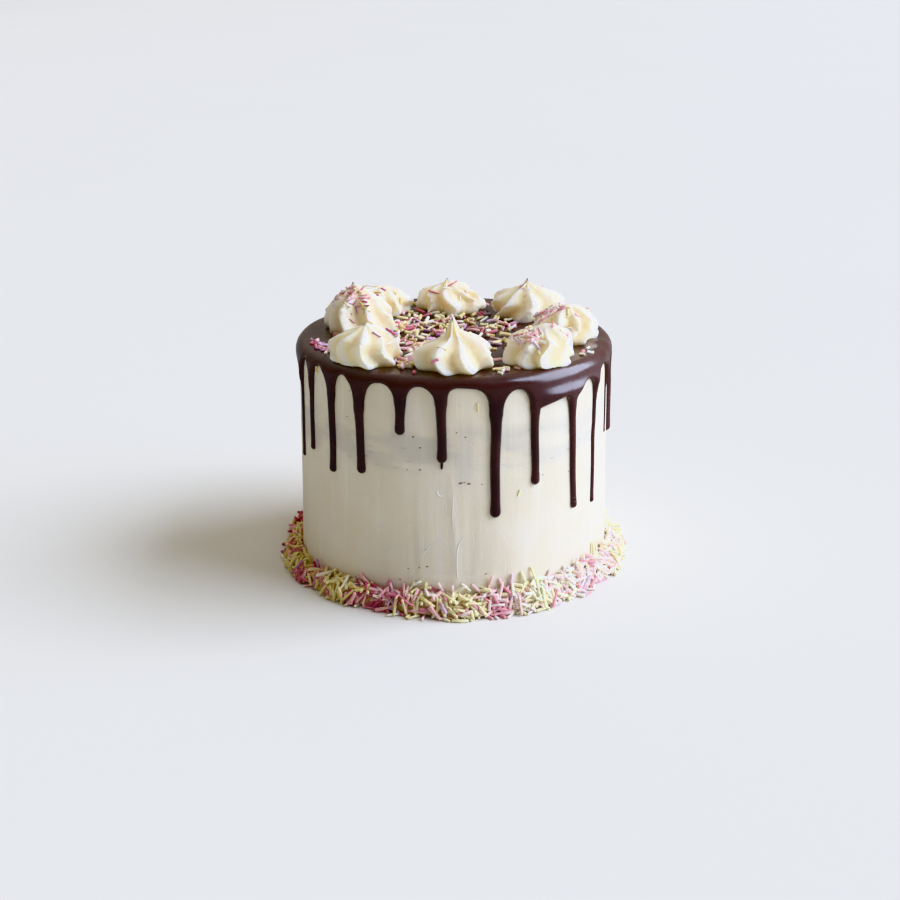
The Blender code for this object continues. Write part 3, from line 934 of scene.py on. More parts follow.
FRONT_DRIPS = (
    Drip(-71.5, 59.0, 2.4, 2.6, 9.0, 0.0, -0.8),
    Drip(-60.9, 67.0, 3.0, 2.4, 9.0, -0.1, -0.5),
    Drip(-47.1, 61.0, 4.0, 2.4, 11.0, -0.1, -1.1),
    Drip(-33.2, 65.0, 4.3, 2.4, 14.0, 0.0, -1.6),
    Drip(-18.3, 87.0, 4.2, 2.6, 9.0, -0.1, 0.0),
    Drip(-3.8, 71.5, 4.3, 2.6, 8.0, -0.2, -0.4, 3.2),
    Drip(14.5, 47.0, 4.8, 5.0, 12.0, 0.0, 0.4),
    Drip(29.5, 60.5, 4.1, 12.0, 3.6, 0.62, -0.1, 1.35),
    Drip(47.6, 42.5, 3.8, 8.0, 10.0, 0.1, -1.6),
    Drip(61.0, 40.0, 2.6, 5.0, 9.0, 0.0, 0.0),
    Drip(74.2, 70.3, 1.4, 4.0, 9.0, 0.0, 0.8),
)
TAILED_DRIP = 5
TAIL_LENGTH = 3.2
TAIL_WIDTH = 1.3
KINKED_DRIP = 9
KINK_SPAN = (76.8, 79.2)
KINK = 0.8


def all_drips():
    """The drips seen from the front, then more of the same kind round the back."""
    draw = random.Random(BACK_SEED)
    start = FRONT_DRIPS[-1].angle + BACK_START
    drips = list(FRONT_DRIPS)
    for i in range(BACK_DRIPS):
        drips.append(
            Drip(
                angle=start + BACK_STEP * i + draw.uniform(-2.0, 2.0),
                tip=draw.uniform(42.0, 82.0),
                width=draw.uniform(3.0, 5.4),
                arch=draw.uniform(2.5, 6.0),
                flare=draw.uniform(8.0, 13.0),
                skew=0.3 * math.sin(5.1 * i),
                sway=1.2 * math.sin(3.7 * i),
            )
        )
    return drips


DRIPS = all_drips()


def spring_height(drip):
    """Where the arches on both sides of a drip end and the drip runs on by itself."""
    return CAKE_HEIGHT - drip.arch - drip.flare


def drip_middle(number, height):
    """The angle of a drip's middle line at a height: it sways between its top and its tip."""
    drip = DRIPS[number]
    fallen = spring_height(drip) - height
    aside = drip.sway * (1 - smooth_step(0.0, 1.0, fallen / (spring_height(drip) - drip.tip)))
    if fallen > 0:
        waver = WAVER * math.sin(fallen / WAVER_PITCH + 2.3 * number)
        aside += waver * smooth_step(*WAVER_BEGINS, fallen)
    if number == KINKED_DRIP:
        aside -= KINK * (1 - smooth_step(*KINK_SPAN, height))
    return drip.angle + math.degrees(aside / wall_radius(height))


def drip_half_width(number, height):
    """Half a drip's width at a height: wide at the spring, even, then a fuller round end."""
    drip = DRIPS[number]
    fallen = spring_height(drip) - height
    taper = 1.04 - 0.08 * smooth_step(0.0, TAPER_LENGTH, fallen)
    even = drip.width / 2 * (taper + (FLARE_START - 1) * math.exp(-fallen / FLARE_LENGTH))
    bulb = drip.width / 2 * BULB_SWELL
    above_end = height - (drip.tip + (TAIL_LENGTH if number == TAILED_DRIP else 0.0))
    even += (bulb - drip.width / 2) * (1 - smooth_step(bulb, BULB_REACH * bulb, above_end))
    if above_end < bulb:
        even *= math.sqrt(max(0.0, 1 - ((bulb - above_end) / bulb) ** 2))
    if number == TAILED_DRIP:
        left = max(0.0, (height - drip.tip) / TAIL_WIDTH)
        even = max(even, TAIL_WIDTH / 2 * quarter_round(left))
    return even


def drip_half_angle(number, height):
    return math.degrees(drip_half_width(number, height) / wall_radius(height))


print(len(DRIPS), "drips, the longest to", min(drip.tip for drip in DRIPS), "mm above the floor")

# %% [markdown]
# The band is a grid of upright lines round the cake. Nine lines run into each drip and fifteen
# end in each arch, whose lower edge is like part of an ellipse, so it meets the drips without a
# corner. The lines stand closer near the drips, where the edge is steep.

# %% The band's lines
STEM_LINES = 9
ARCH_LINES = 15
HEM_WAVES = 0.22


class Line(NamedTuple):
    """One upright line through the band, with its lower end and its drip, or -1 in an arch."""

    angle: float
    reach: float
    drip: int
    across: float


def arch_rise(across, drip):
    """The arch's height between its feet at -1 and 1, with its crown moved by the drip's skew."""
    moved = (across - drip.skew) / (1 - drip.skew * across)
    return max(0.0, 1 - abs(moved) ** drip.boxy) ** (1 / drip.boxy), moved


def band_lines():
    lines = []
    for number, drip in enumerate(DRIPS):
        after_number = (number + 1) % len(DRIPS)
        spring = spring_height(drip)
        middle = drip_middle(number, spring)
        half = drip_half_angle(number, spring)
        for i in range(STEM_LINES):
            across = math.sin(math.pi / 2 * (2 * i / (STEM_LINES - 1) - 1))
            lines.append(Line(middle + across * half, reach_at(spring), number, across))
        after_spring = spring_height(DRIPS[after_number])
        after_half = drip_half_angle(after_number, after_spring)
        start = middle + half
        width = (drip_middle(after_number, after_spring) - after_half - start) % 360.0
        top = reach_at(CAKE_HEIGHT - drip.arch)
        for i in range(1, ARCH_LINES + 1):
            across = math.sin(math.pi / 2 * (2 * i / (ARCH_LINES + 1) - 1))
            rise, moved = arch_rise(across, drip)
            foot = reach_at(spring if moved < 0 else after_spring)
            angle = start + width * (1 + across) / 2
            hem = foot + (top - foot) * rise
            hem += HEM_WAVES * rise * math.sin(math.radians(angle) * 29 + number)
            lines.append(Line(angle, hem, -1, across))
    return lines


LINES = band_lines()
print(len(LINES), "lines round the band")

# %% [markdown]
# A pour is thick in the middle and rounds off to nothing at its edge. So the depth at a point
# follows from its distance to the nearest edge of the chocolate, which a k-d tree of points along
# that edge answers quickly. In a drip the depth follows the drip's own width instead, and the two
# rules are blended below the arches.

# %% Where the chocolate ends
EDGE_STEPS = 10
DRIP_EDGE_STEPS = 60
DRIP_EDGE_STEP = 0.2


def flat_place(angle, reach):
    """The place of a point of the wall when the wall is unrolled."""
    return Vector((math.radians(angle) * TOP_RADIUS, reach, 0.0))


def chocolate_edge():
    """Points close together all along the chocolate's lower edge."""
    spots = []
    for line, after in zip(LINES, LINES[1:] + LINES[:1]):
        if line.drip >= 0 and line.drip == after.drip:
            continue
        here = flat_place(line.angle, line.reach)
        there = flat_place(line.angle + from_front(after.angle - line.angle), after.reach)
        spots += [here.lerp(there, step / EDGE_STEPS) for step in range(EDGE_STEPS)]
    for number, drip in enumerate(DRIPS):
        for step in range(DRIP_EDGE_STEPS):
            height = spring_height(drip) - DRIP_EDGE_STEP * step
            for side in (-1, 1):
                angle = drip_middle(number, height) + side * drip_half_angle(number, height)
                spots.append(flat_place(angle, reach_at(height)))
    round_once = Vector((math.tau * TOP_RADIUS, 0.0, 0.0))
    return [spot + round_once * k for spot in spots for k in (-1, 0, 1)]


edge_spots = chocolate_edge()
EDGE_TREE = KDTree(len(edge_spots))
for index, spot in enumerate(edge_spots):
    EDGE_TREE.insert(spot, index)
EDGE_TREE.balance()
print("the chocolate's edge has", len(edge_spots) // 3, "points")

# %% [markdown]
# Away from any edge the pour is about 2 mm deep. It gathered thickly over the edge on the right,
# and puddles swell it near the rim. Each puddle has an angle, a reach, a height and a spread.

# %% How deep the chocolate is
GATHERED_ANGLE = 46.0
GATHERED_WIDTH = 19.0
GATHERED_DEPTH = 1.75
GATHERED_REACH = 85.5
GATHERED_SPREAD = 3.4
PUDDLES = (
    (78.0, 71.0, 1.3, 5.5), (69.0, 74.0, 0.6, 5.0), (-70.0, 72.0, 0.5, 3.4), (-62.0, 73.5, 0.4, 3.0),
    (-77.0, 69.0, 0.45, 3.0), (-55.0, 73.0, 0.3, 3.5), (20.0, 74.0, 0.25, 5.0), (-8.0, 74.0, 0.2, 6.0),
)


def full_depth(angle, reach):
    """The depth away from any edge: a little more where the pour gathered on the right."""
    turn = math.radians(angle)
    aside = from_front(angle)
    depth = GLAZE_DEPTH + (BAND_DEPTH - GLAZE_DEPTH) * smooth_step(FLAT_REACH, EDGE_REACH + 3, reach)
    gathered = bell(aside, GATHERED_ANGLE, GATHERED_WIDTH)
    depth += GATHERED_DEPTH * gathered * bell(reach, GATHERED_REACH, GATHERED_SPREAD)
    for place, at, height, spread in PUDDLES:
        away = math.hypot(math.radians(aside - place) * reach, reach - at)
        depth += height * bell(away, 0.0, spread)
    depth += 0.07 * math.sin(7 * turn + reach / 9) + 0.05 * math.sin(13 * turn + 1.0 - reach / 6)
    return depth


def band_depth(angle, reach):
    away = EDGE_TREE.find(flat_place(from_front(angle), reach))[2]
    return full_depth(angle, reach) * quarter_round(away / BEAD_WIDTH)


def stem_depth(number, height, across):
    """The depth in a drip, from side (-1) to side (1)."""
    half = drip_half_width(number, height)
    angle = drip_middle(number, height)
    by_width = min(BAND_DEPTH * 1.15, 2 * STEM_DEPTH * half) * math.sqrt(max(0.0, 1 - across * across))
    by_edge = full_depth(angle, reach_at(height)) * quarter_round(half * (1 - abs(across)) / BEAD_WIDTH)
    near = smooth_step(0.0, 7.0, spring_height(DRIPS[number]) - height)
    return by_edge + (by_width - by_edge) * near


# %% [markdown]
# Now the sheet is put together in rows of points. First come the two skins: the outer one from
# the middle of the top down to the edge, and a plain inner one that closes it against the cake.

# %% The outer and the inner skin
TOP_REACHES = (8.0, 17.0, 27.0, 37.0, 46.0, 54.0, 60.0, 65.0, 69.0, 71.8)
BAND_ROWS = 26
BAND_CROWDING = 1.5
INNER_PULLS = (1.0, 0.5, 0.0)
INNER_GAP = 1.2


class Sheet:
    """Rows of points and the faces between them."""

    def __init__(self):
        self.points = []
        self.faces = []

    def add_row(self, spots):
        start = len(self.points)
        self.points.extend(spots)
        return list(range(start, start + len(spots)))

    def join(self, upper, lower, closed):
        for i in range(len(upper) - (0 if closed else 1)):
            j = (i + 1) % len(upper)
            self.faces.append((upper[i], lower[i], lower[j], upper[j]))


def top_waves(angle, reach):
    """The set glaze isn't quite level."""
    spot = polar(reach, angle, 0.0)
    waves = math.sin(spot.x / 8.3 + 0.6 * math.sin(spot.y / 11.0)) * math.sin(spot.y / 7.1 + 1.0)
    return 0.11 * waves * (1 - smooth_step(66.0, FLAT_REACH, reach))


def top_spot(line, reach):
    lift = SEAT + full_depth(line.angle, reach) + top_waves(line.angle, reach)
    return coat_point(reach, line.angle, lift)


def band_spot(line, row):
    """A point of the band. Its rows stand closer together towards the lower edge."""
    share = 1 - (1 - row / (BAND_ROWS - 1)) ** BAND_CROWDING
    reach = FLAT_REACH + (line.reach - FLAT_REACH) * share
    return coat_point(reach, line.angle, SEAT + band_depth(line.angle, reach))


def inner_spot(line, pull):
    reach = FLAT_REACH + (min(EDGE_REACH, line.reach - INNER_GAP) - FLAT_REACH) * pull
    return coat_point(reach, line.angle, SEAT)


def lay_outer_skin(sheet):
    rows = [sheet.add_row([top_spot(line, reach) for line in LINES]) for reach in TOP_REACHES]
    sheet.faces.append(tuple(rows[0]))
    rows += [sheet.add_row([band_spot(line, row) for line in LINES]) for row in range(BAND_ROWS)]
    for upper, lower in zip(rows, rows[1:]):
        sheet.join(upper, lower, True)
    return rows[-1]


def lay_inner_skin(sheet, hem):
    """Closes the sheet against the cake, except where a drip will hang from it."""
    inner_hem = []
    for line, corner in zip(LINES, hem):
        if line.drip >= 0 and abs(line.across) < 1:
            inner_hem += sheet.add_row([coat_point(line.reach, line.angle, SEAT)])
        else:
            inner_hem.append(corner)
    rows = [inner_hem]
    rows += [sheet.add_row([inner_spot(line, pull) for line in LINES]) for pull in INNER_PULLS]
    for lower, upper in zip(rows, rows[1:]):
        sheet.join(lower, upper, True)
    sheet.faces.append(tuple(reversed(rows[-1])))
    return inner_hem


print(len(TOP_REACHES) + BAND_ROWS, "rows of points in the outer skin")

# %% [markdown]
# Then each drip is hung from the lower edge, row by row, and closed at its tip.

# %% Pour the chocolate
STEM_ROWS = 16
END_ROWS = 11
END_LENGTH = 1.3


def stem_heights(number):
    """The heights of a drip's rows, closer together towards its round end."""
    drip = DRIPS[number]
    spring = spring_height(drip)
    tail = TAIL_LENGTH + 0.4 if number == TAILED_DRIP else 0.0
    end_zone = drip.width / 2 * BULB_SWELL * END_LENGTH + tail
    knee = drip.tip + end_zone
    heights = [spring + (knee - spring) * i / STEM_ROWS for i in range(1, STEM_ROWS + 1)]
    rows = END_ROWS * (2 if tail else 1)
    for i in range(1, rows):
        heights.append(drip.tip + end_zone * (1 - math.sin(math.pi / 2 * i / rows)))
    return heights


def hang_drip(sheet, number, hem, inner_hem):
    places = [i for i, line in enumerate(LINES) if line.drip == number]
    outer = [hem[i] for i in places]
    inner = [inner_hem[i] for i in places]
    for height in stem_heights(number):
        middle = drip_middle(number, height)
        half = drip_half_angle(number, height)
        spots = []
        for i in places:
            across = LINES[i].across
            lift = SEAT + stem_depth(number, height, across)
            spots.append(coat_point(reach_at(height), middle + across * half, lift))
        lower = sheet.add_row(spots)
        sheet.join(outer, lower, False)
        sheet.faces.append(tuple(inner + [lower[-1], lower[0]]))
        outer = lower
        inner = [lower[0], lower[-1]]
    low = DRIPS[number].tip
    tip = sheet.add_row([coat_point(reach_at(low), drip_middle(number, low), SEAT)])[0]
    for left, right in zip(outer, outer[1:]):
        sheet.faces.append((left, tip, right))
    sheet.faces.append((inner[0], inner[-1], tip))


def pour_chocolate():
    sheet = Sheet()
    hem = lay_outer_skin(sheet)
    inner_hem = lay_inner_skin(sheet, hem)
    for number in range(len(DRIPS)):
        hang_drip(sheet, number, hem, inner_hem)
    return mesh_object("poured_chocolate", sheet.points, sheet.faces)


def face_outwards(piece):
    edit = bmesh.new()
    edit.from_mesh(piece.data)
    bmesh.ops.recalc_face_normals(edit, faces=edit.faces)
    open_edges = sum(len(edge.link_faces) != 2 for edge in edit.edges)
    edit.to_mesh(piece.data)
    edit.free()
    print(piece.name, "has", open_edges, "open edges")


poured = pour_chocolate()
face_outwards(poured)
smooth_below(poured, 70.0)
dress(poured, CHOCOLATE_FINISH, ["chocolate_drip"])

# %% [markdown]
# ## The piped swirls
# A swirl comes out of a star nozzle: a wide, full body with soft ridges and sharp folds between
# them, pulled up at the end to a leaning tip. It is raised from a circle by operators, row by row:
# each row is extruded, drawn in and turned a little. That gives a plain dome with a spire on it.

# %% The swirls' measures
SWIRL_FOOT = 114.95
RIDGES = 8
RIDGE_POINTS = 8
BELLY = 0.12
RIM_LIMIT = 76.0
RIDGE_SWAY = 9.0
SWIRL_RISES = (0.0, 0.045, 0.10, 0.16, 0.23, 0.31, 0.39, 0.47, 0.55, 0.63, 0.71, 0.79, 0.86, 0.92, 0.965)
FOLD_DEPTH = 0.29


JOIN_POWER = 12
FOOT_SHARE = 0.88


class Swirl(NamedTuple):
    """A piped swirl: its place and size, and the number of strands that lie on it.

    top is the share of the height at which the body would close and fullness how full the body
    is. ledge is how much lower the body closes on the left than on the right, as it winds up, and
    spire how wide the spire that goes on from there would be at the foot, as a share of the
    radius. lean moves the tip along X, seed draws its uneven ridges, and dusted is the side, as
    an angle about the swirl's own axis, that most strands are on.
    """

    name: str
    x: float
    y: float
    radius: float
    height: float
    top: float
    fullness: float
    ledge: float
    spire: float
    lean: float
    twist: float
    seed: int
    strands: int
    dusted: float


SWIRLS = (
    Swirl("swirl_front", 0.9, -56.3, 19.9, 25.0, 0.62, 2.4, 0.16, 0.64, -1.4, -12.0, 3, 3, -110.0),
    Swirl("swirl_front_right", 40.3, -48.3, 18.6, 17.5, 1.04, 2.1, 0.06, 0.95, 2.6, -20.0, 4, 38, -150.0),
    Swirl("swirl_right", 53.2, -10.8, 17.4, 17.5, 1.04, 2.0, 0.05, 0.95, 2.6, 18.0, 5, 38, -170.0),
    Swirl("swirl_back_right", 37.6, 35.6, 19.1, 20.2, 0.84, 1.8, 0.10, 0.85, 0.7, 22.0, 6, 10, -90.0),
    Swirl("swirl_back", -2.0, 48.4, 19.9, 17.2, 0.90, 1.9, 0.08, 0.85, -1.5, -16.0, 7, 9, -90.0),
    Swirl("swirl_back_left", -39.5, 42.8, 17.4, 14.5, 1.05, 2.1, 0.05, 0.95, -1.0, 20.0, 8, 10, -60.0),
    Swirl("swirl_left", -47.6, 6.0, 19.6, 25.0, 0.95, 1.25, 0.08, 0.95, -2.7, 20.0, 9, 74, -118.0),
    Swirl("swirl_front_left", -41.2, -47.6, 18.0, 18.0, 0.98, 2.1, 0.05, 0.90, 0.3, -14.0, 10, 6, 20.0),
)


def swirl_reach(swirl, rise, aside=0.0):
    """The distance from a swirl's axis to its skin, before the ridges are pressed in.

    aside goes from -1 on the swirl's left side to 1 on its right.
    """
    closing = min(1.0, max(0.0, (rise - BELLY) / (swirl.top + swirl.ledge / 2 * aside - BELLY)))
    body = math.cos(math.pi / 2 * closing ** (swirl.fullness * (1 - 1.5 * swirl.ledge * aside)))
    spire = swirl.spire * (1 - rise)
    reach = swirl.radius * (body ** JOIN_POWER + spire ** JOIN_POWER) ** (1 / JOIN_POWER)
    return reach * (FOOT_SHARE + (1 - FOOT_SHARE) * math.sin(math.pi / 2 * min(1.0, rise / BELLY)))


def swirl_turn(swirl, rise):
    """How far the ridges have wound round at this height, in radians."""
    sway = RIDGE_SWAY * math.sin(math.tau * (1.1 * rise + 0.13 * swirl.seed))
    return math.radians(swirl.twist * rise + sway)


# %% Raise a swirl
def raise_swirl(swirl):
    clear_selection()
    centre = Vector((swirl.x, swirl.y, SWIRL_FOOT)) * MM
    reach = swirl_reach(swirl, 0.0)
    bpy.ops.mesh.primitive_circle_add(
        vertices=RIDGES * RIDGE_POINTS,
        radius=reach * MM,
        fill_type="NGON",
        location=centre,
    )
    piece = name_new("piped_" + swirl.name)
    bpy.ops.mesh.select_all(action="SELECT")
    for before, rise in zip(SWIRL_RISES, SWIRL_RISES[1:]):
        step = Vector((swirl.lean * (rise ** 2 - before ** 2), 0.0, swirl.height * (rise - before))) * MM
        bpy.ops.mesh.extrude_edges_move(TRANSFORM_OT_translate={"value": step})
        centre = centre + step
        share = swirl_reach(swirl, rise) / reach
        bpy.ops.transform.resize(value=(share, share, 1.0), center_override=centre)
        reach *= share
        more = swirl_turn(swirl, rise) - swirl_turn(swirl, before)
        bpy.ops.transform.rotate(value=-more, orient_axis="Z", center_override=centre)
    last = SWIRL_RISES[-1]
    tip_step = Vector((swirl.lean * (1 - last ** 2), 0.0, swirl.height * (1 - last))) * MM
    bpy.ops.mesh.extrude_edges_move(TRANSFORM_OT_translate={"value": tip_step})
    bpy.ops.mesh.merge(type="CENTER")
    apply_all(piece)
    return piece


# %% [markdown]
# The nozzle's ridges are then pressed in by code, because each one is a little different: some
# stand out further, some like a shoulder half way up, and they aren't evenly spaced. A star
# nozzle leaves narrow ridges with round hollows between them. How deep a vertex lies in a hollow
# is kept as the attribute "fold".

# %% Press in the ridges
HOLLOW_POWER = 1.7
SHOULDER_AT = 0.42
SHOULDER_SPAN = 0.15
SWELL_LOST = 0.6
SWELL_MOST = 0.08
SHOULDER_MOST = 0.16
NO_FOLD = (0.90, 1.0)


def ridge_section(ridges, crests, place, rise):
    """The share of the reach at a place along the ridges, counted in ridges, and the hollow's depth."""
    place = place % RIDGES
    number = 0
    while number < RIDGES - 1 and place >= crests[number + 1]:
        number += 1
    stop = crests[number + 1] if number < RIDGES - 1 else RIDGES
    across = min(1.0, max(0.0, (place - crests[number]) / (stop - crests[number])))
    hollow = 1 - abs(2 * across - 1) ** HOLLOW_POWER
    near, far = ridges[number], ridges[(number + 1) % RIDGES]
    swell = near[0] + (far[0] - near[0]) * smooth_step(0.0, 1.0, across)
    shoulder = near[1] + (far[1] - near[1]) * smooth_step(0.0, 1.0, across)
    own = 1 + swell * (1 - SWELL_LOST * rise)
    own += shoulder * bell(rise, SHOULDER_AT, SHOULDER_SPAN)
    depth = FOLD_DEPTH * (0.70 + 0.30 * math.sin(math.pi * (0.12 + 0.70 * rise)))
    return own * (1 - depth * hollow), hollow


def press_ridges(piece, swirl):
    draw = random.Random(swirl.seed)
    ridges = []
    for _ in range(RIDGES):
        ridges.append((draw.uniform(-SWELL_MOST, SWELL_MOST), draw.uniform(-SHOULDER_MOST, SHOULDER_MOST)))
    start = draw.randrange(RIDGE_POINTS) / RIDGE_POINTS
    crests = [0.0] + [number + draw.choice((-1, 0, 0, 1)) / RIDGE_POINTS for number in range(1, RIDGES)]
    fold = piece.data.attributes.new("fold", "FLOAT", "POINT")
    depths = []
    for vertex in piece.data.vertices:
        rise = (vertex.co.z / MM - SWIRL_FOOT) / swirl.height
        middle = Vector((swirl.x + swirl.lean * rise ** 2, swirl.y, 0.0)) * MM
        arm = vertex.co - middle
        turn = math.atan2(arm.y, arm.x)
        place = (turn - swirl_turn(swirl, rise) + swirl_turn(swirl, 0.0)) / math.tau * RIDGES + start
        share, depth = ridge_section(ridges, crests, round(place * RIDGE_POINTS) / RIDGE_POINTS, rise)
        share *= swirl_reach(swirl, rise, math.cos(turn)) / swirl_reach(swirl, rise)
        vertex.co.x = middle.x + arm.x * share
        vertex.co.y = middle.y + arm.y * share
        depths.append(depth * (1 - smooth_step(*NO_FOLD, rise)))
    fold.data.foreach_set("value", depths)


# %% [markdown]
# A subdivision rounds it all off and two soft displacements take away its evenness. The cream has
# torn a little along the ridges, which leaves them ragged. The swirls near the rim are kept back
# from the edge of the cake, as in the solids.

# %% Finish a swirl
TEAR_DEPTH = 1.5
TEAR_SIZE = 0.48
TORN_PLACES = 0.11
TORN_SPAN = (-0.25, 0.25)
CREST_SPAN = (0.05, 0.45)
TORN_ABOVE = (0.1, 0.3)
TIP_RADIUS = 1.5


def keep_back(piece):
    for vertex in piece.data.vertices:
        over = math.hypot(vertex.co.x, vertex.co.y) / (RIM_LIMIT * MM)
        if over > 1:
            vertex.co.x /= over
            vertex.co.y /= over


def fit_height(piece, swirl):
    """Draws the swirl up to its full height, which the subdivision has lowered."""
    top = max(vertex.co.z for vertex in piece.data.vertices) / MM - SWIRL_FOOT
    for vertex in piece.data.vertices:
        rise = vertex.co.z / MM - SWIRL_FOOT
        vertex.co.z = (SWIRL_FOOT + rise * swirl.height / top) * MM


def tear_ridges(piece, swirl):
    """Rough steps in places along the crests of the ridges, where the attribute "fold" is low."""
    folds = piece.data.attributes["fold"].data
    shift = Vector((swirl.seed, 0.0, 0.0))
    for vertex, fold in zip(piece.data.vertices, folds):
        rise = (vertex.co.z / MM - SWIRL_FOOT) / swirl.height
        crest = (1 - smooth_step(*CREST_SPAN, fold.value)) * smooth_step(*TORN_ABOVE, rise)
        torn = smooth_step(*TORN_SPAN, noise.noise(vertex.co / MM * TORN_PLACES + shift * 3.7))
        rough = torn * noise.noise(vertex.co / MM * TEAR_SIZE + shift)
        arm = Vector((vertex.co.x / MM - swirl.x, vertex.co.y / MM - swirl.y, 0.0))
        if arm.length > TIP_RADIUS:
            vertex.co += arm.normalized() * (TEAR_DEPTH * crest * rough * MM)


def pipe_swirl(swirl):
    piece = raise_swirl(swirl)
    press_ridges(piece, swirl)
    subdivide(piece, 2)
    lump(piece, 12.0, 2.3, depth=0)
    lump(piece, 3.0, 0.4, depth=1)
    apply_all(piece)
    fit_height(piece, swirl)
    tear_ridges(piece, swirl)
    keep_back(piece)
    face_outwards(piece)
    select_only(piece)
    bpy.ops.object.shade_smooth()
    dress(piece, PIPED_FINISH, [swirl.name])
    return piece


piped = [pipe_swirl(swirl) for swirl in SWIRLS]

# %% [markdown]
# ## The heap's core
# The strands at the foot lie several deep. Only the outer ones show, so under them is a core with a lumpy
# skin in their mixed colours, deepened and with brown among them as painted shade between the strands, and
# paler on the right as painted window light. It is a ring drawn up the heap's slope from the floor to the
# wall and displaced.

# %% Heap core
HEAP_WIDTH = 8.7
HEAP_WIDTH_UNEVEN = 1.8
HEAP_HEIGHT = 6.9
HEAP_HEIGHT_UNEVEN = 1.5
HEAP_TILT = 4.6
HEAP_HIGH_SIDE = 32.0
HEAP_BACK_SHARE = -0.25
CORE_SUNK = 1.0
CORE_IN_WALL = 1.5
CORE_SIDES = 300
CORE_ROWS = 9
CORE_LAST_SHARE = 0.89


def heap_waves(angle):
    """An uneven line round the foot, between about -1 and 1."""
    turn = math.radians(angle)
    return (math.sin(5 * turn + 0.6) + 0.8 * math.sin(11 * turn + 2.1) + 0.6 * math.sin(17 * turn)) / 2


def heap_point(angle, share, sunk=0.0):
    """A point on the heap's slope, from the floor at share 0 up to the wall at share 1."""
    width = HEAP_WIDTH + HEAP_WIDTH_UNEVEN * heap_waves(angle) - sunk
    tilted = max(HEAP_BACK_SHARE, math.cos(math.radians(angle - HEAP_HIGH_SIDE)))
    height = HEAP_HEIGHT + HEAP_TILT * tilted + HEAP_HEIGHT_UNEVEN * heap_waves(angle + 40.0) - sunk
    bend = share * math.pi / 2
    rise = height * math.sin(bend)
    return polar(wall_radius(rise) + width * math.cos(bend), angle, rise)


def make_core():
    clear_selection()
    bpy.ops.mesh.primitive_circle_add(vertices=CORE_SIDES, radius=FOOT_RADIUS * MM, fill_type="NOTHING")
    piece = name_new("strand_heap_core")
    for _ in range(CORE_ROWS):
        bpy.ops.mesh.extrude_edges_move(TRANSFORM_OT_translate={"value": (0.0, 0.0, MM)})
    clear_selection()
    for vertex in piece.data.vertices:
        angle = angle_of(vertex.co)
        share = vertex.co.z / MM / CORE_ROWS
        if share > 0.99:
            height = heap_point(angle, 1.0, CORE_SUNK).z - 0.5
            vertex.co = polar(FOOT_RADIUS - CORE_IN_WALL, angle, height) * MM
        else:
            vertex.co = heap_point(angle, share / CORE_LAST_SHARE, CORE_SUNK) * MM
    bpy.ops.object.mode_set(mode="EDIT")
    pick(piece, "EDGE", lambda edge: edge.is_boundary)
    bpy.ops.mesh.bridge_edge_loops()
    apply_all(piece)
    subdivide(piece, 1)
    lump(piece, 2.4, 1.7, depth=1)
    apply_all(piece)
    for vertex in piece.data.vertices:
        vertex.co.z = max(0.0, vertex.co.z)
    face_outwards(piece)
    return piece


# %% The core's mixed colours
# The deep colours and the brown are painted shade in the gaps between strands; the pale one is painted
# window light.
CORE_ROSE = (0.42, 0.10, 0.08, 1.0)
CORE_PINK = (0.58, 0.26, 0.18, 1.0)
CORE_YELLOW = (0.60, 0.44, 0.16, 1.0)
CORE_GAP_SHADE = (0.55, 0.38, 0.22, 1.0)
CORE_WINDOW_LIGHT = (0.97, 0.83, 0.67, 1.0)
CORE_WINDOW_LIGHT_SPAN = (-0.035, 0.055)


def core_finish():
    made, tree, shader = new_finish("mixed_sugar_painted_shade", {"Roughness": 0.55})
    place, parts = coordinates(tree)
    cells = place_cells(tree, place, 420.0)
    pinks = blend_colours(tree, ramp(tree, cells["Color"], 0.2, 0.35), CORE_ROSE, CORE_PINK)
    mixed = blend_colours(tree, ramp(tree, cells["Color"], 0.45, 0.55), pinks, CORE_YELLOW)
    whole = mottle(tree, mixed, CORE_GAP_SHADE, 300.0, Low=0.5)
    # Painted light: the core turns pale towards the window side, +X.
    right = multiply(tree, ramp(tree, parts["X"], *CORE_WINDOW_LIGHT_SPAN), 0.9)
    tree.links.new(blend_colours(tree, right, whole["Colour"], CORE_WINDOW_LIGHT), shader["Base Color"])
    put_grain(tree, shader, 700.0, 0.6, 0.6)
    return made


dress(make_core(), core_finish(), nodes=["cake"])

# %% [markdown]
# ## Sugar strands
# One strand is modelled: a short rod with seven sides, its ends bevelled and a cut at its middle,
# so that it can bend. It is then copied, in code, to every place, with its own length, thickness,
# bend and turn, and all the strands of one colour make one piece.

# %% One strand
STRAND_LENGTH = 6.8
STRAND_RADIUS = 0.76
STRAND_SIDES = 7
STRAND_BEVEL = 0.32


def model_strand():
    """The points and faces of one strand along Z, with its middle at the origin."""
    clear_selection()
    bpy.ops.mesh.primitive_cylinder_add(
        vertices=STRAND_SIDES,
        radius=STRAND_RADIUS * MM,
        depth=STRAND_LENGTH * MM,
    )
    rod = name_new("strand_pattern")
    pick(rod, "FACE", lambda face: abs(face.normal.z) > 0.9)
    bevel_round(STRAND_BEVEL, 1)
    cut_upright_edges(rod, STRAND_LENGTH, 1)
    clear_selection()
    points = np.array([vertex.co for vertex in rod.data.vertices]) / MM
    faces = [tuple(face.vertices) for face in rod.data.polygons]
    bpy.data.objects.remove(rod)
    return points, faces


STRAND_POINTS, STRAND_FACES = model_strand()
print("one strand has", len(STRAND_FACES), "faces")

# %% [markdown]
# A strand is laid on a surface by a point and the surface's normal there: it lies any way round,
# tipped a little. Its length and thickness are drawn as shares of the pattern's. At the foot it
# must stay above the floor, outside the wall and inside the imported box.

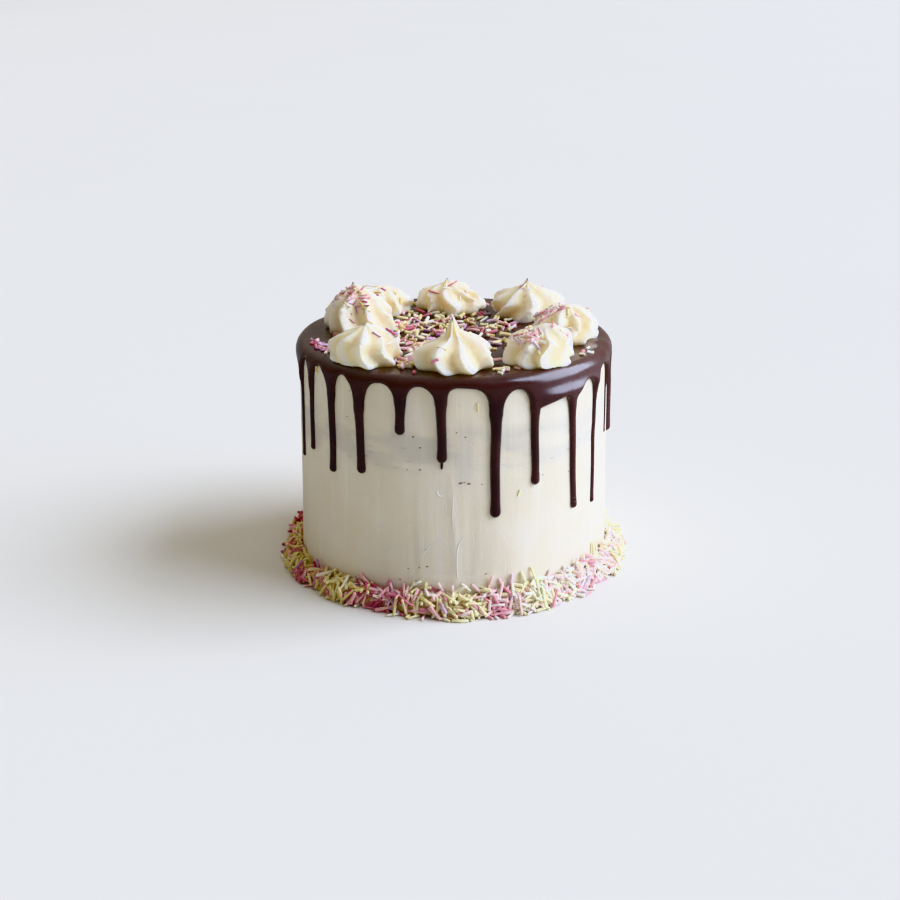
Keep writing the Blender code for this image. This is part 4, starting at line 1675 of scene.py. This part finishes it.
# %% Lay strands
LENGTHS = (1.42, 1.22, 1.08, 0.98, 0.85, 0.65)
LENGTH_SPREAD = (0.92, 1.10)
THICKNESSES = (0.70, 1.15)


class Strand(NamedTuple):
    """One laid strand: its middle, its direction, and its length and thickness as shares."""

    middle: Vector
    along: Vector
    length: float
    thickness: float


def lay(point, normal, draw, lift, tilt, swing=None):
    """A strand lying on a surface, `lift` above it, with its axis tipped out by up to `tilt`."""
    side = normal.cross(Vector((0.0, 0.0, 1.0)))
    if side.length < 0.05:
        side = Vector((1.0, 0.0, 0.0)).cross(normal)
    side.normalize()
    uphill = side.cross(normal)
    turn = draw.uniform(0.0, math.pi) if swing is None else swing
    along = side * math.cos(turn) + uphill * math.sin(turn) + normal * draw.uniform(-tilt, tilt)
    length = draw.choice(LENGTHS) * draw.uniform(*LENGTH_SPREAD)
    return Strand(point + normal * lift, along.normalized(), length, draw.uniform(*THICKNESSES))


def ends_of(strand):
    half = strand.along * (STRAND_LENGTH / 2 * strand.length)
    return strand.middle + half, strand.middle - half


def settle_foot(strand, outer_limit):
    """Moves a strand up off the floor, out of the wall and in from the outer limit."""
    radius = STRAND_RADIUS * strand.thickness
    middle = strand.middle.copy()
    lowest = min(end.z for end in ends_of(strand)) - radius
    middle.z += max(0.0, 0.05 - lowest)
    moved = strand._replace(middle=middle)
    for end in ends_of(moved):
        off_axis = Vector((end.x, end.y, 0.0))
        away = off_axis.length
        push = max(0.0, wall_radius(end.z) + 0.5 * radius - away) - max(0.0, away + radius - outer_limit)
        moved = moved._replace(middle=moved.middle + off_axis / away * push)
    return moved


# %% [markdown]
# The foot has three kinds: strands spread evenly over the heap in three layers, strands that
# stand or lean against the wall just above it, and strands flat on the floor along its edge. Each
# layer has a number of strands, its lift off the slope and its tilt. On the right, where the heap
# is packed down, the layers lie closer and flatter.

# %% Strands at the foot
FOOT_LAYERS = ((540, -0.9, 0.14), (520, 0.1, 0.24), (270, 1.1, 0.45))
LIFT_LOST = 0.4
TILT_LOST = 0.6
LEANING = 100
OUTLYING = 150
OUTER_LIMIT = 91.6


def heap_normal(angle, share):
    here = heap_point(angle, share)
    uphill = heap_point(angle, share + 0.04) - here
    aside = heap_point(angle + 0.5, share) - here
    normal = aside.cross(uphill).normalized()
    outward = polar(1.0, angle, 0.6)
    return normal if normal.dot(outward) > 0 else -normal


def layer_strand(angle, lift, tilt, draw):
    share = draw.uniform(0.07, 1.0)
    flat = max(0.0, math.sin(math.radians(angle)))
    point, normal = heap_point(angle, share), heap_normal(angle, share)
    return lay(point, normal, draw, lift * (1 - LIFT_LOST * flat), tilt * (1 - TILT_LOST * flat))


def leaning_strand(angle, draw):
    outward = polar(1.0, angle, 0.03)
    front = 0.5 + 0.5 * math.cos(math.radians(angle - HEAP_HIGH_SIDE))
    point = heap_point(angle, 1.0) + Vector((0.0, 0.0, draw.uniform(-1.2, 0.6 + 3.2 * front)))
    return lay(point, outward, draw, draw.uniform(0.9, 1.6), 0.35, swing=draw.uniform(0.5, 2.6))


def outlying_strand(angle, draw):
    edge = heap_point(angle, 0.0)
    point = Vector((edge.x, edge.y, 0.0)) + polar(draw.uniform(-3.5, 3.0), angle, 0.0)
    return lay(point, Vector((0.0, 0.0, 1.0)), draw, STRAND_RADIUS + 0.05, 0.03)


def foot_strands(draw):
    laid = []

    def spread(count, make, *how):
        for i in range(count):
            angle = 360.0 * (i + draw.random()) / count
            laid.append(settle_foot(make(angle, *how, draw), OUTER_LIMIT))

    for count, lift, tilt in FOOT_LAYERS:
        spread(count, layer_strand, lift, tilt)
    spread(LEANING, leaning_strand)
    spread(OUTLYING, outlying_strand)
    return laid


# %% [markdown]
# On top, a ray is dropped at each chosen place. Where it meets the chocolate the strand lies flat,
# and where it meets a swirl it clings to the slope. Most are in the middle of the ring of swirls,
# thinner on its right side, and others are in the gaps between the swirls, above all in the gap
# to the left of the front one. Small bits lie near the rim, given by angle and distance. The
# strands on top are shorter than those at the foot.

# %% Strands on top
TOP_LENGTH = 0.74
CENTRE_STRANDS = 330
CENTRE_RIGHT = 4.0
CENTRE_RIGHT_KEPT = 0.45
CENTRE_REACH = 35.0
CENTRE_LIFTS = (0.8, 0.9, 2.1, 2.8)
CENTRE_TILT = 0.4
GAP_STRANDS = 140
GAP_REACH = 62.0
GAP_LIFTS = (0.8, 0.9, 2.2)
FLAT_TILT = 0.12
FRONT_GAP_ANGLE = -21.0
FRONT_GAP_REACH = 66.0
FRONT_GAP_STRANDS = 110
BIT_LENGTHS = (0.35, 0.62)
DUSTED_SPREAD = 52.0
DUSTED_SPAN = (0.14, 0.75)
DUSTED_THICKNESS = 0.7
RIM_BITS = (
    (-14.5, 71.0), (-6.5, 73.8), (17.4, 66.5), (18.2, 68.2), (19.6, 67.4), (20.4, 69.6), (21.4, 66.8),
    (18.8, 70.4), (17.2, 72.6), (25.6, 68.3), (31.0, 70.0), (35.0, 71.8), (44.0, 72.6), (47.0, 71.8),
    (57.5, 72.4), (60.5, 71.0), (62.0, 74.0), (66.5, 70.6), (-62.0, 70.4), (-64.0, 68.4), (-60.2, 68.8),
    (-66.4, 69.6), (-69.0, 67.4), (-72.0, 68.4), (-74.5, 70.6), (-58.0, 71.6), (120.0, 70.0), (171.0, 71.0),
    (-131.0, 70.5), (98.0, 69.4), (-70.5, 69.0), (-73.0, 71.5), (-66.0, 71.6), (-62.8, 67.4), (-76.5, 69.0),
    (-68.0, 71.8), (-71.5, 66.8), (-64.6, 66.4), (-60.0, 66.8), (-78.5, 71.0),
)


def skin_of(piece):
    """A tree for casting rays at a piece, in millimetres."""
    points = [vertex.co / MM for vertex in piece.data.vertices]
    faces = [tuple(face.vertices) for face in piece.data.polygons]
    return BVHTree.FromPolygons(points, faces)


SKINS = [skin_of(poured)] + [skin_of(piece) for piece in piped]
HIGH = 160.0


def drop(x, y):
    """What a ray dropped at x, y meets first: the piece's number, the point and the normal."""
    best = None
    for number, skin in enumerate(SKINS):
        point, normal, _, _ = skin.ray_cast(Vector((x, y, HIGH)), Vector((0.0, 0.0, -1.0)))
        if point is not None and (best is None or point.z > best[1].z):
            best = (number, point, normal)
    return best


def top_strands(draw):
    laid = []
    for _ in range(CENTRE_STRANDS):
        spot = polar(CENTRE_REACH * math.sqrt(draw.random()), draw.uniform(0.0, 360.0), 0.0)
        met = drop(spot.x, spot.y)
        kept = spot.x < CENTRE_RIGHT or draw.random() < CENTRE_RIGHT_KEPT
        if met and met[0] == 0 and kept:
            laid.append(lay(met[1], met[2], draw, STRAND_RADIUS * draw.choice(CENTRE_LIFTS), CENTRE_TILT))
    gaps = [(draw.uniform(CENTRE_REACH, GAP_REACH), draw.uniform(0.0, 360.0)) for _ in range(GAP_STRANDS)]
    for _ in range(FRONT_GAP_STRANDS):
        gaps.append((draw.uniform(CENTRE_REACH, FRONT_GAP_REACH), draw.gauss(FRONT_GAP_ANGLE, 3.0)))
    for away, angle in gaps:
        spot = polar(away, angle, 0.0)
        met = drop(spot.x, spot.y)
        if met and met[0] == 0:
            laid.append(lay(met[1], met[2], draw, STRAND_RADIUS * draw.choice(GAP_LIFTS), FLAT_TILT))
    return [strand._replace(length=TOP_LENGTH * strand.length) for strand in laid]


def rim_strands(draw):
    laid = []
    for angle, radius in RIM_BITS:
        spot = polar(radius, angle, 0.0)
        met = drop(spot.x, spot.y)
        if met:
            strand = lay(met[1], met[2], draw, STRAND_RADIUS * 0.75, 0.05)
            laid.append(strand._replace(length=draw.uniform(*BIT_LENGTHS)))
    return laid


def swirl_strands(swirl, draw):
    """Strands caught on a swirl, most of them high up and on its dusted side."""
    laid = []
    while len(laid) < swirl.strands:
        turn = math.radians(draw.gauss(swirl.dusted, DUSTED_SPREAD))
        away = swirl.radius * draw.uniform(*DUSTED_SPAN)
        met = drop(swirl.x + away * math.cos(turn), swirl.y + away * math.sin(turn))
        if met and met[0] > 0:
            strand = lay(met[1], met[2], draw, STRAND_RADIUS * 0.5, FLAT_TILT)
            thinner, shorter = DUSTED_THICKNESS * strand.thickness, TOP_LENGTH * strand.length
            laid.append(strand._replace(thickness=thinner, length=shorter))
    return laid


# %% [markdown]
# The colours are dealt out by share. At the foot pink and yellow lead, white is less common, and
# lilac is rare. On top there is more lilac and white. The bits near the rim are mostly white on
# the right, and pink and lilac on the left. A few strands are stuck flat on the wall.
#
# The heap isn't evenly mixed. It has patches where yellow leads, or pink where the patch's third value is
# below 0, and each colour also leans to the right, to the left or to the floor. The leanings to the right
# and left are partly painted light: white and pale colours lead on the window side, and white is rarer on
# the shaded left.

# %% The colours' shares
COLOURS = ("rose", "pale_pink", "yellow", "white", "lilac")
FOOT_SHARES = (0.20, 0.31, 0.33, 0.12, 0.04)
CENTRE_SHARES = (0.12, 0.18, 0.42, 0.16, 0.12)
SWIRL_SHARES = (0.24, 0.28, 0.20, 0.16, 0.12)
GAP_SHARES = (0.14, 0.28, 0.10, 0.28, 0.20)
LEFT_RIM_SHARES = (0.24, 0.26, 0.06, 0.14, 0.30)
RIM_SHARES = (0.06, 0.22, 0.08, 0.58, 0.06)
PATCHES = (
    (-68.5, 7.0, 1.3), (-59.0, 3.5, -1.5), (-43.0, 7.5, 1.2), (-24.0, 6.0, -1.2), (-10.0, 5.0, 0.3),
    (4.5, 6.0, 1.2), (14.5, 3.5, -1.2), (25.0, 8.0, 1.0), (52.0, 8.0, -1.2), (68.0, 6.0, 0.6),
    (98.0, 10.0, 1.0), (127.0, 9.0, -1.2), (158.0, 12.0, 1.0), (-168.0, 9.0, -1.2), (-138.0, 12.0, 1.0),
    (-104.0, 9.0, -1.0),
)
# The right and left leanings are partly painted light: paler colours on the window side, fewer whites on
# the shaded left.
LEANINGS = {
    "rose": {"patch": -1.2, "right": -1.9, "left": 0.1, "low": 0.6},
    "pale_pink": {"patch": -0.6, "right": 0.3, "left": -0.5, "low": 0.0},
    "yellow": {"patch": 1.0, "right": 0.1, "left": 0.5, "low": -0.4},
    "white": {"patch": 0.0, "right": 1.0, "left": -1.6, "low": 0.0},
    "lilac": {"patch": 0.0, "right": 0.0, "left": 0.0, "low": 0.0},
}
LOW_SPAN = (1.0, 6.0)


def heap_leaning(spot):
    """How far a place in the heap is in a yellow or pink patch, right, left and low."""
    angle = angle_of(spot)
    across = math.sin(math.radians(angle))
    return {
        "patch": sum(lead * bell(angle, at, span) for at, span, lead in PATCHES),
        "right": max(0.0, across),
        "left": max(0.0, -across),
        "low": 1 - smooth_step(*LOW_SPAN, spot.z),
    }


def deal(strands, shares, draw, dealt, in_heap=False):
    """Deals a colour to each strand."""
    for strand in strands:
        weights = list(shares)
        if in_heap:
            here = heap_leaning(strand.middle)
            for number, colour in enumerate(COLOURS):
                weights[number] *= math.exp(sum(LEANINGS[colour][way] * here[way] for way in here))
        dealt[draw.choices(COLOURS, weights=weights)[0]].append(strand)


print("colours of strands:", ", ".join(COLOURS))

# %% [markdown]
# Each strand gets its own value between deep and pale: part by chance, and part painted window light, which
# makes more of them pale towards the right.

# %% Copy the strand to every place
STRAND_BEND = 0.55
BEND_SPREAD = (-0.3, 1.0)
CHANCE_TINT = 0.4
WINDOW_TINT = 0.6
TOP_WINDOW_LIGHT = (0.15, 0.75)
TOP_WINDOW_LIGHT_SPAN = (10.0, 40.0)


def painted_window_light(spot):
    """How pale the painted window light makes a strand, from 0 to 1."""
    if spot.z < CAKE_HEIGHT:
        return min(1.0, max(0.0, 0.5 + spot.x / OUTER_LIMIT))
    return TOP_WINDOW_LIGHT[0] + (TOP_WINDOW_LIGHT[1] - TOP_WINDOW_LIGHT[0]) * smooth_step(*TOP_WINDOW_LIGHT_SPAN, spot.x)


def strand_mesh(name, strands, draw):
    """One joined mesh of many strands, with a value for each that is partly chance tint and partly painted
    window light.
    """
    count = len(STRAND_POINTS)
    bow = 1 - (2 * STRAND_POINTS[:, 2] / STRAND_LENGTH) ** 2
    points = []
    faces = []
    tone_and_light_values = []
    for number, strand in enumerate(strands):
        turned = np.array(strand.along.to_track_quat("Z", "Y").to_matrix())
        roll = np.array(Matrix.Rotation(draw.uniform(0.0, math.tau), 3, "Z"))
        own = STRAND_POINTS * np.array((strand.thickness, strand.thickness, strand.length))
        own[:, 0] += draw.uniform(*BEND_SPREAD) * STRAND_BEND * bow
        placed = own @ roll.T @ turned.T + np.array(strand.middle)
        placed[:, 2] = np.maximum(placed[:, 2], 0.0)
        points += placed.tolist()
        faces += [tuple(number * count + i for i in face) for face in STRAND_FACES]
        # Painted light: part of each strand's value comes from the window side.
        tone_and_light_values += [CHANCE_TINT * draw.random() + WINDOW_TINT * painted_window_light(strand.middle)] * count
    piece = mesh_object(name, points, faces)
    tint_and_window_light = piece.data.attributes.new("tint_and_window_light", "FLOAT", "POINT")
    tint_and_window_light.data.foreach_set("value", tone_and_light_values)
    piece.data.shade_smooth()
    piece.data.set_sharp_from_angle(angle=math.radians(50.0))
    return piece


# %% Make the strand pieces
STRAND_SEED = 8
WALL_STRANDS = (
    ("yellow", 8.4, 101.4, 1.5, 0.62), ("yellow", 23.3, 57.7, 1.9, 0.5), ("yellow", -57.5, 109.5, 1.4, 0.7),
)


def deal_all(draw):
    """All the strands by colour."""
    dealt = {colour: [] for colour in COLOURS}
    deal(foot_strands(draw), FOOT_SHARES, draw, dealt, in_heap=True)
    on_top = top_strands(draw)
    deal([strand for strand in on_top if strand.middle.y > -CENTRE_REACH], CENTRE_SHARES, draw, dealt)
    deal([strand for strand in on_top if strand.middle.y <= -CENTRE_REACH], GAP_SHARES, draw, dealt)
    near_rim = rim_strands(draw)
    deal([strand for strand in near_rim if strand.middle.x > 0], RIM_SHARES, draw, dealt)
    deal([strand for strand in near_rim if strand.middle.x <= 0], LEFT_RIM_SHARES, draw, dealt)
    for swirl in SWIRLS:
        deal(swirl_strands(swirl, draw), SWIRL_SHARES, draw, dealt)
    for colour, angle, height, swing, length in WALL_STRANDS:
        point = coat_point(reach_at(height), angle, 0.0)
        strand = lay(point, polar(1.0, angle, 0.0), draw, 0.1, 0.02, swing=swing)
        dealt[colour].append(strand._replace(length=length))
    return dealt


def make_strands():
    draw = random.Random(STRAND_SEED)
    for colour, strands in deal_all(draw).items():
        piece = strand_mesh("sugar_strands_" + colour, strands, draw)
        dress(piece, sugar(colour), nodes=["cake", "chocolate_drip"])
        print(len(strands), colour, "strands")


make_strands()
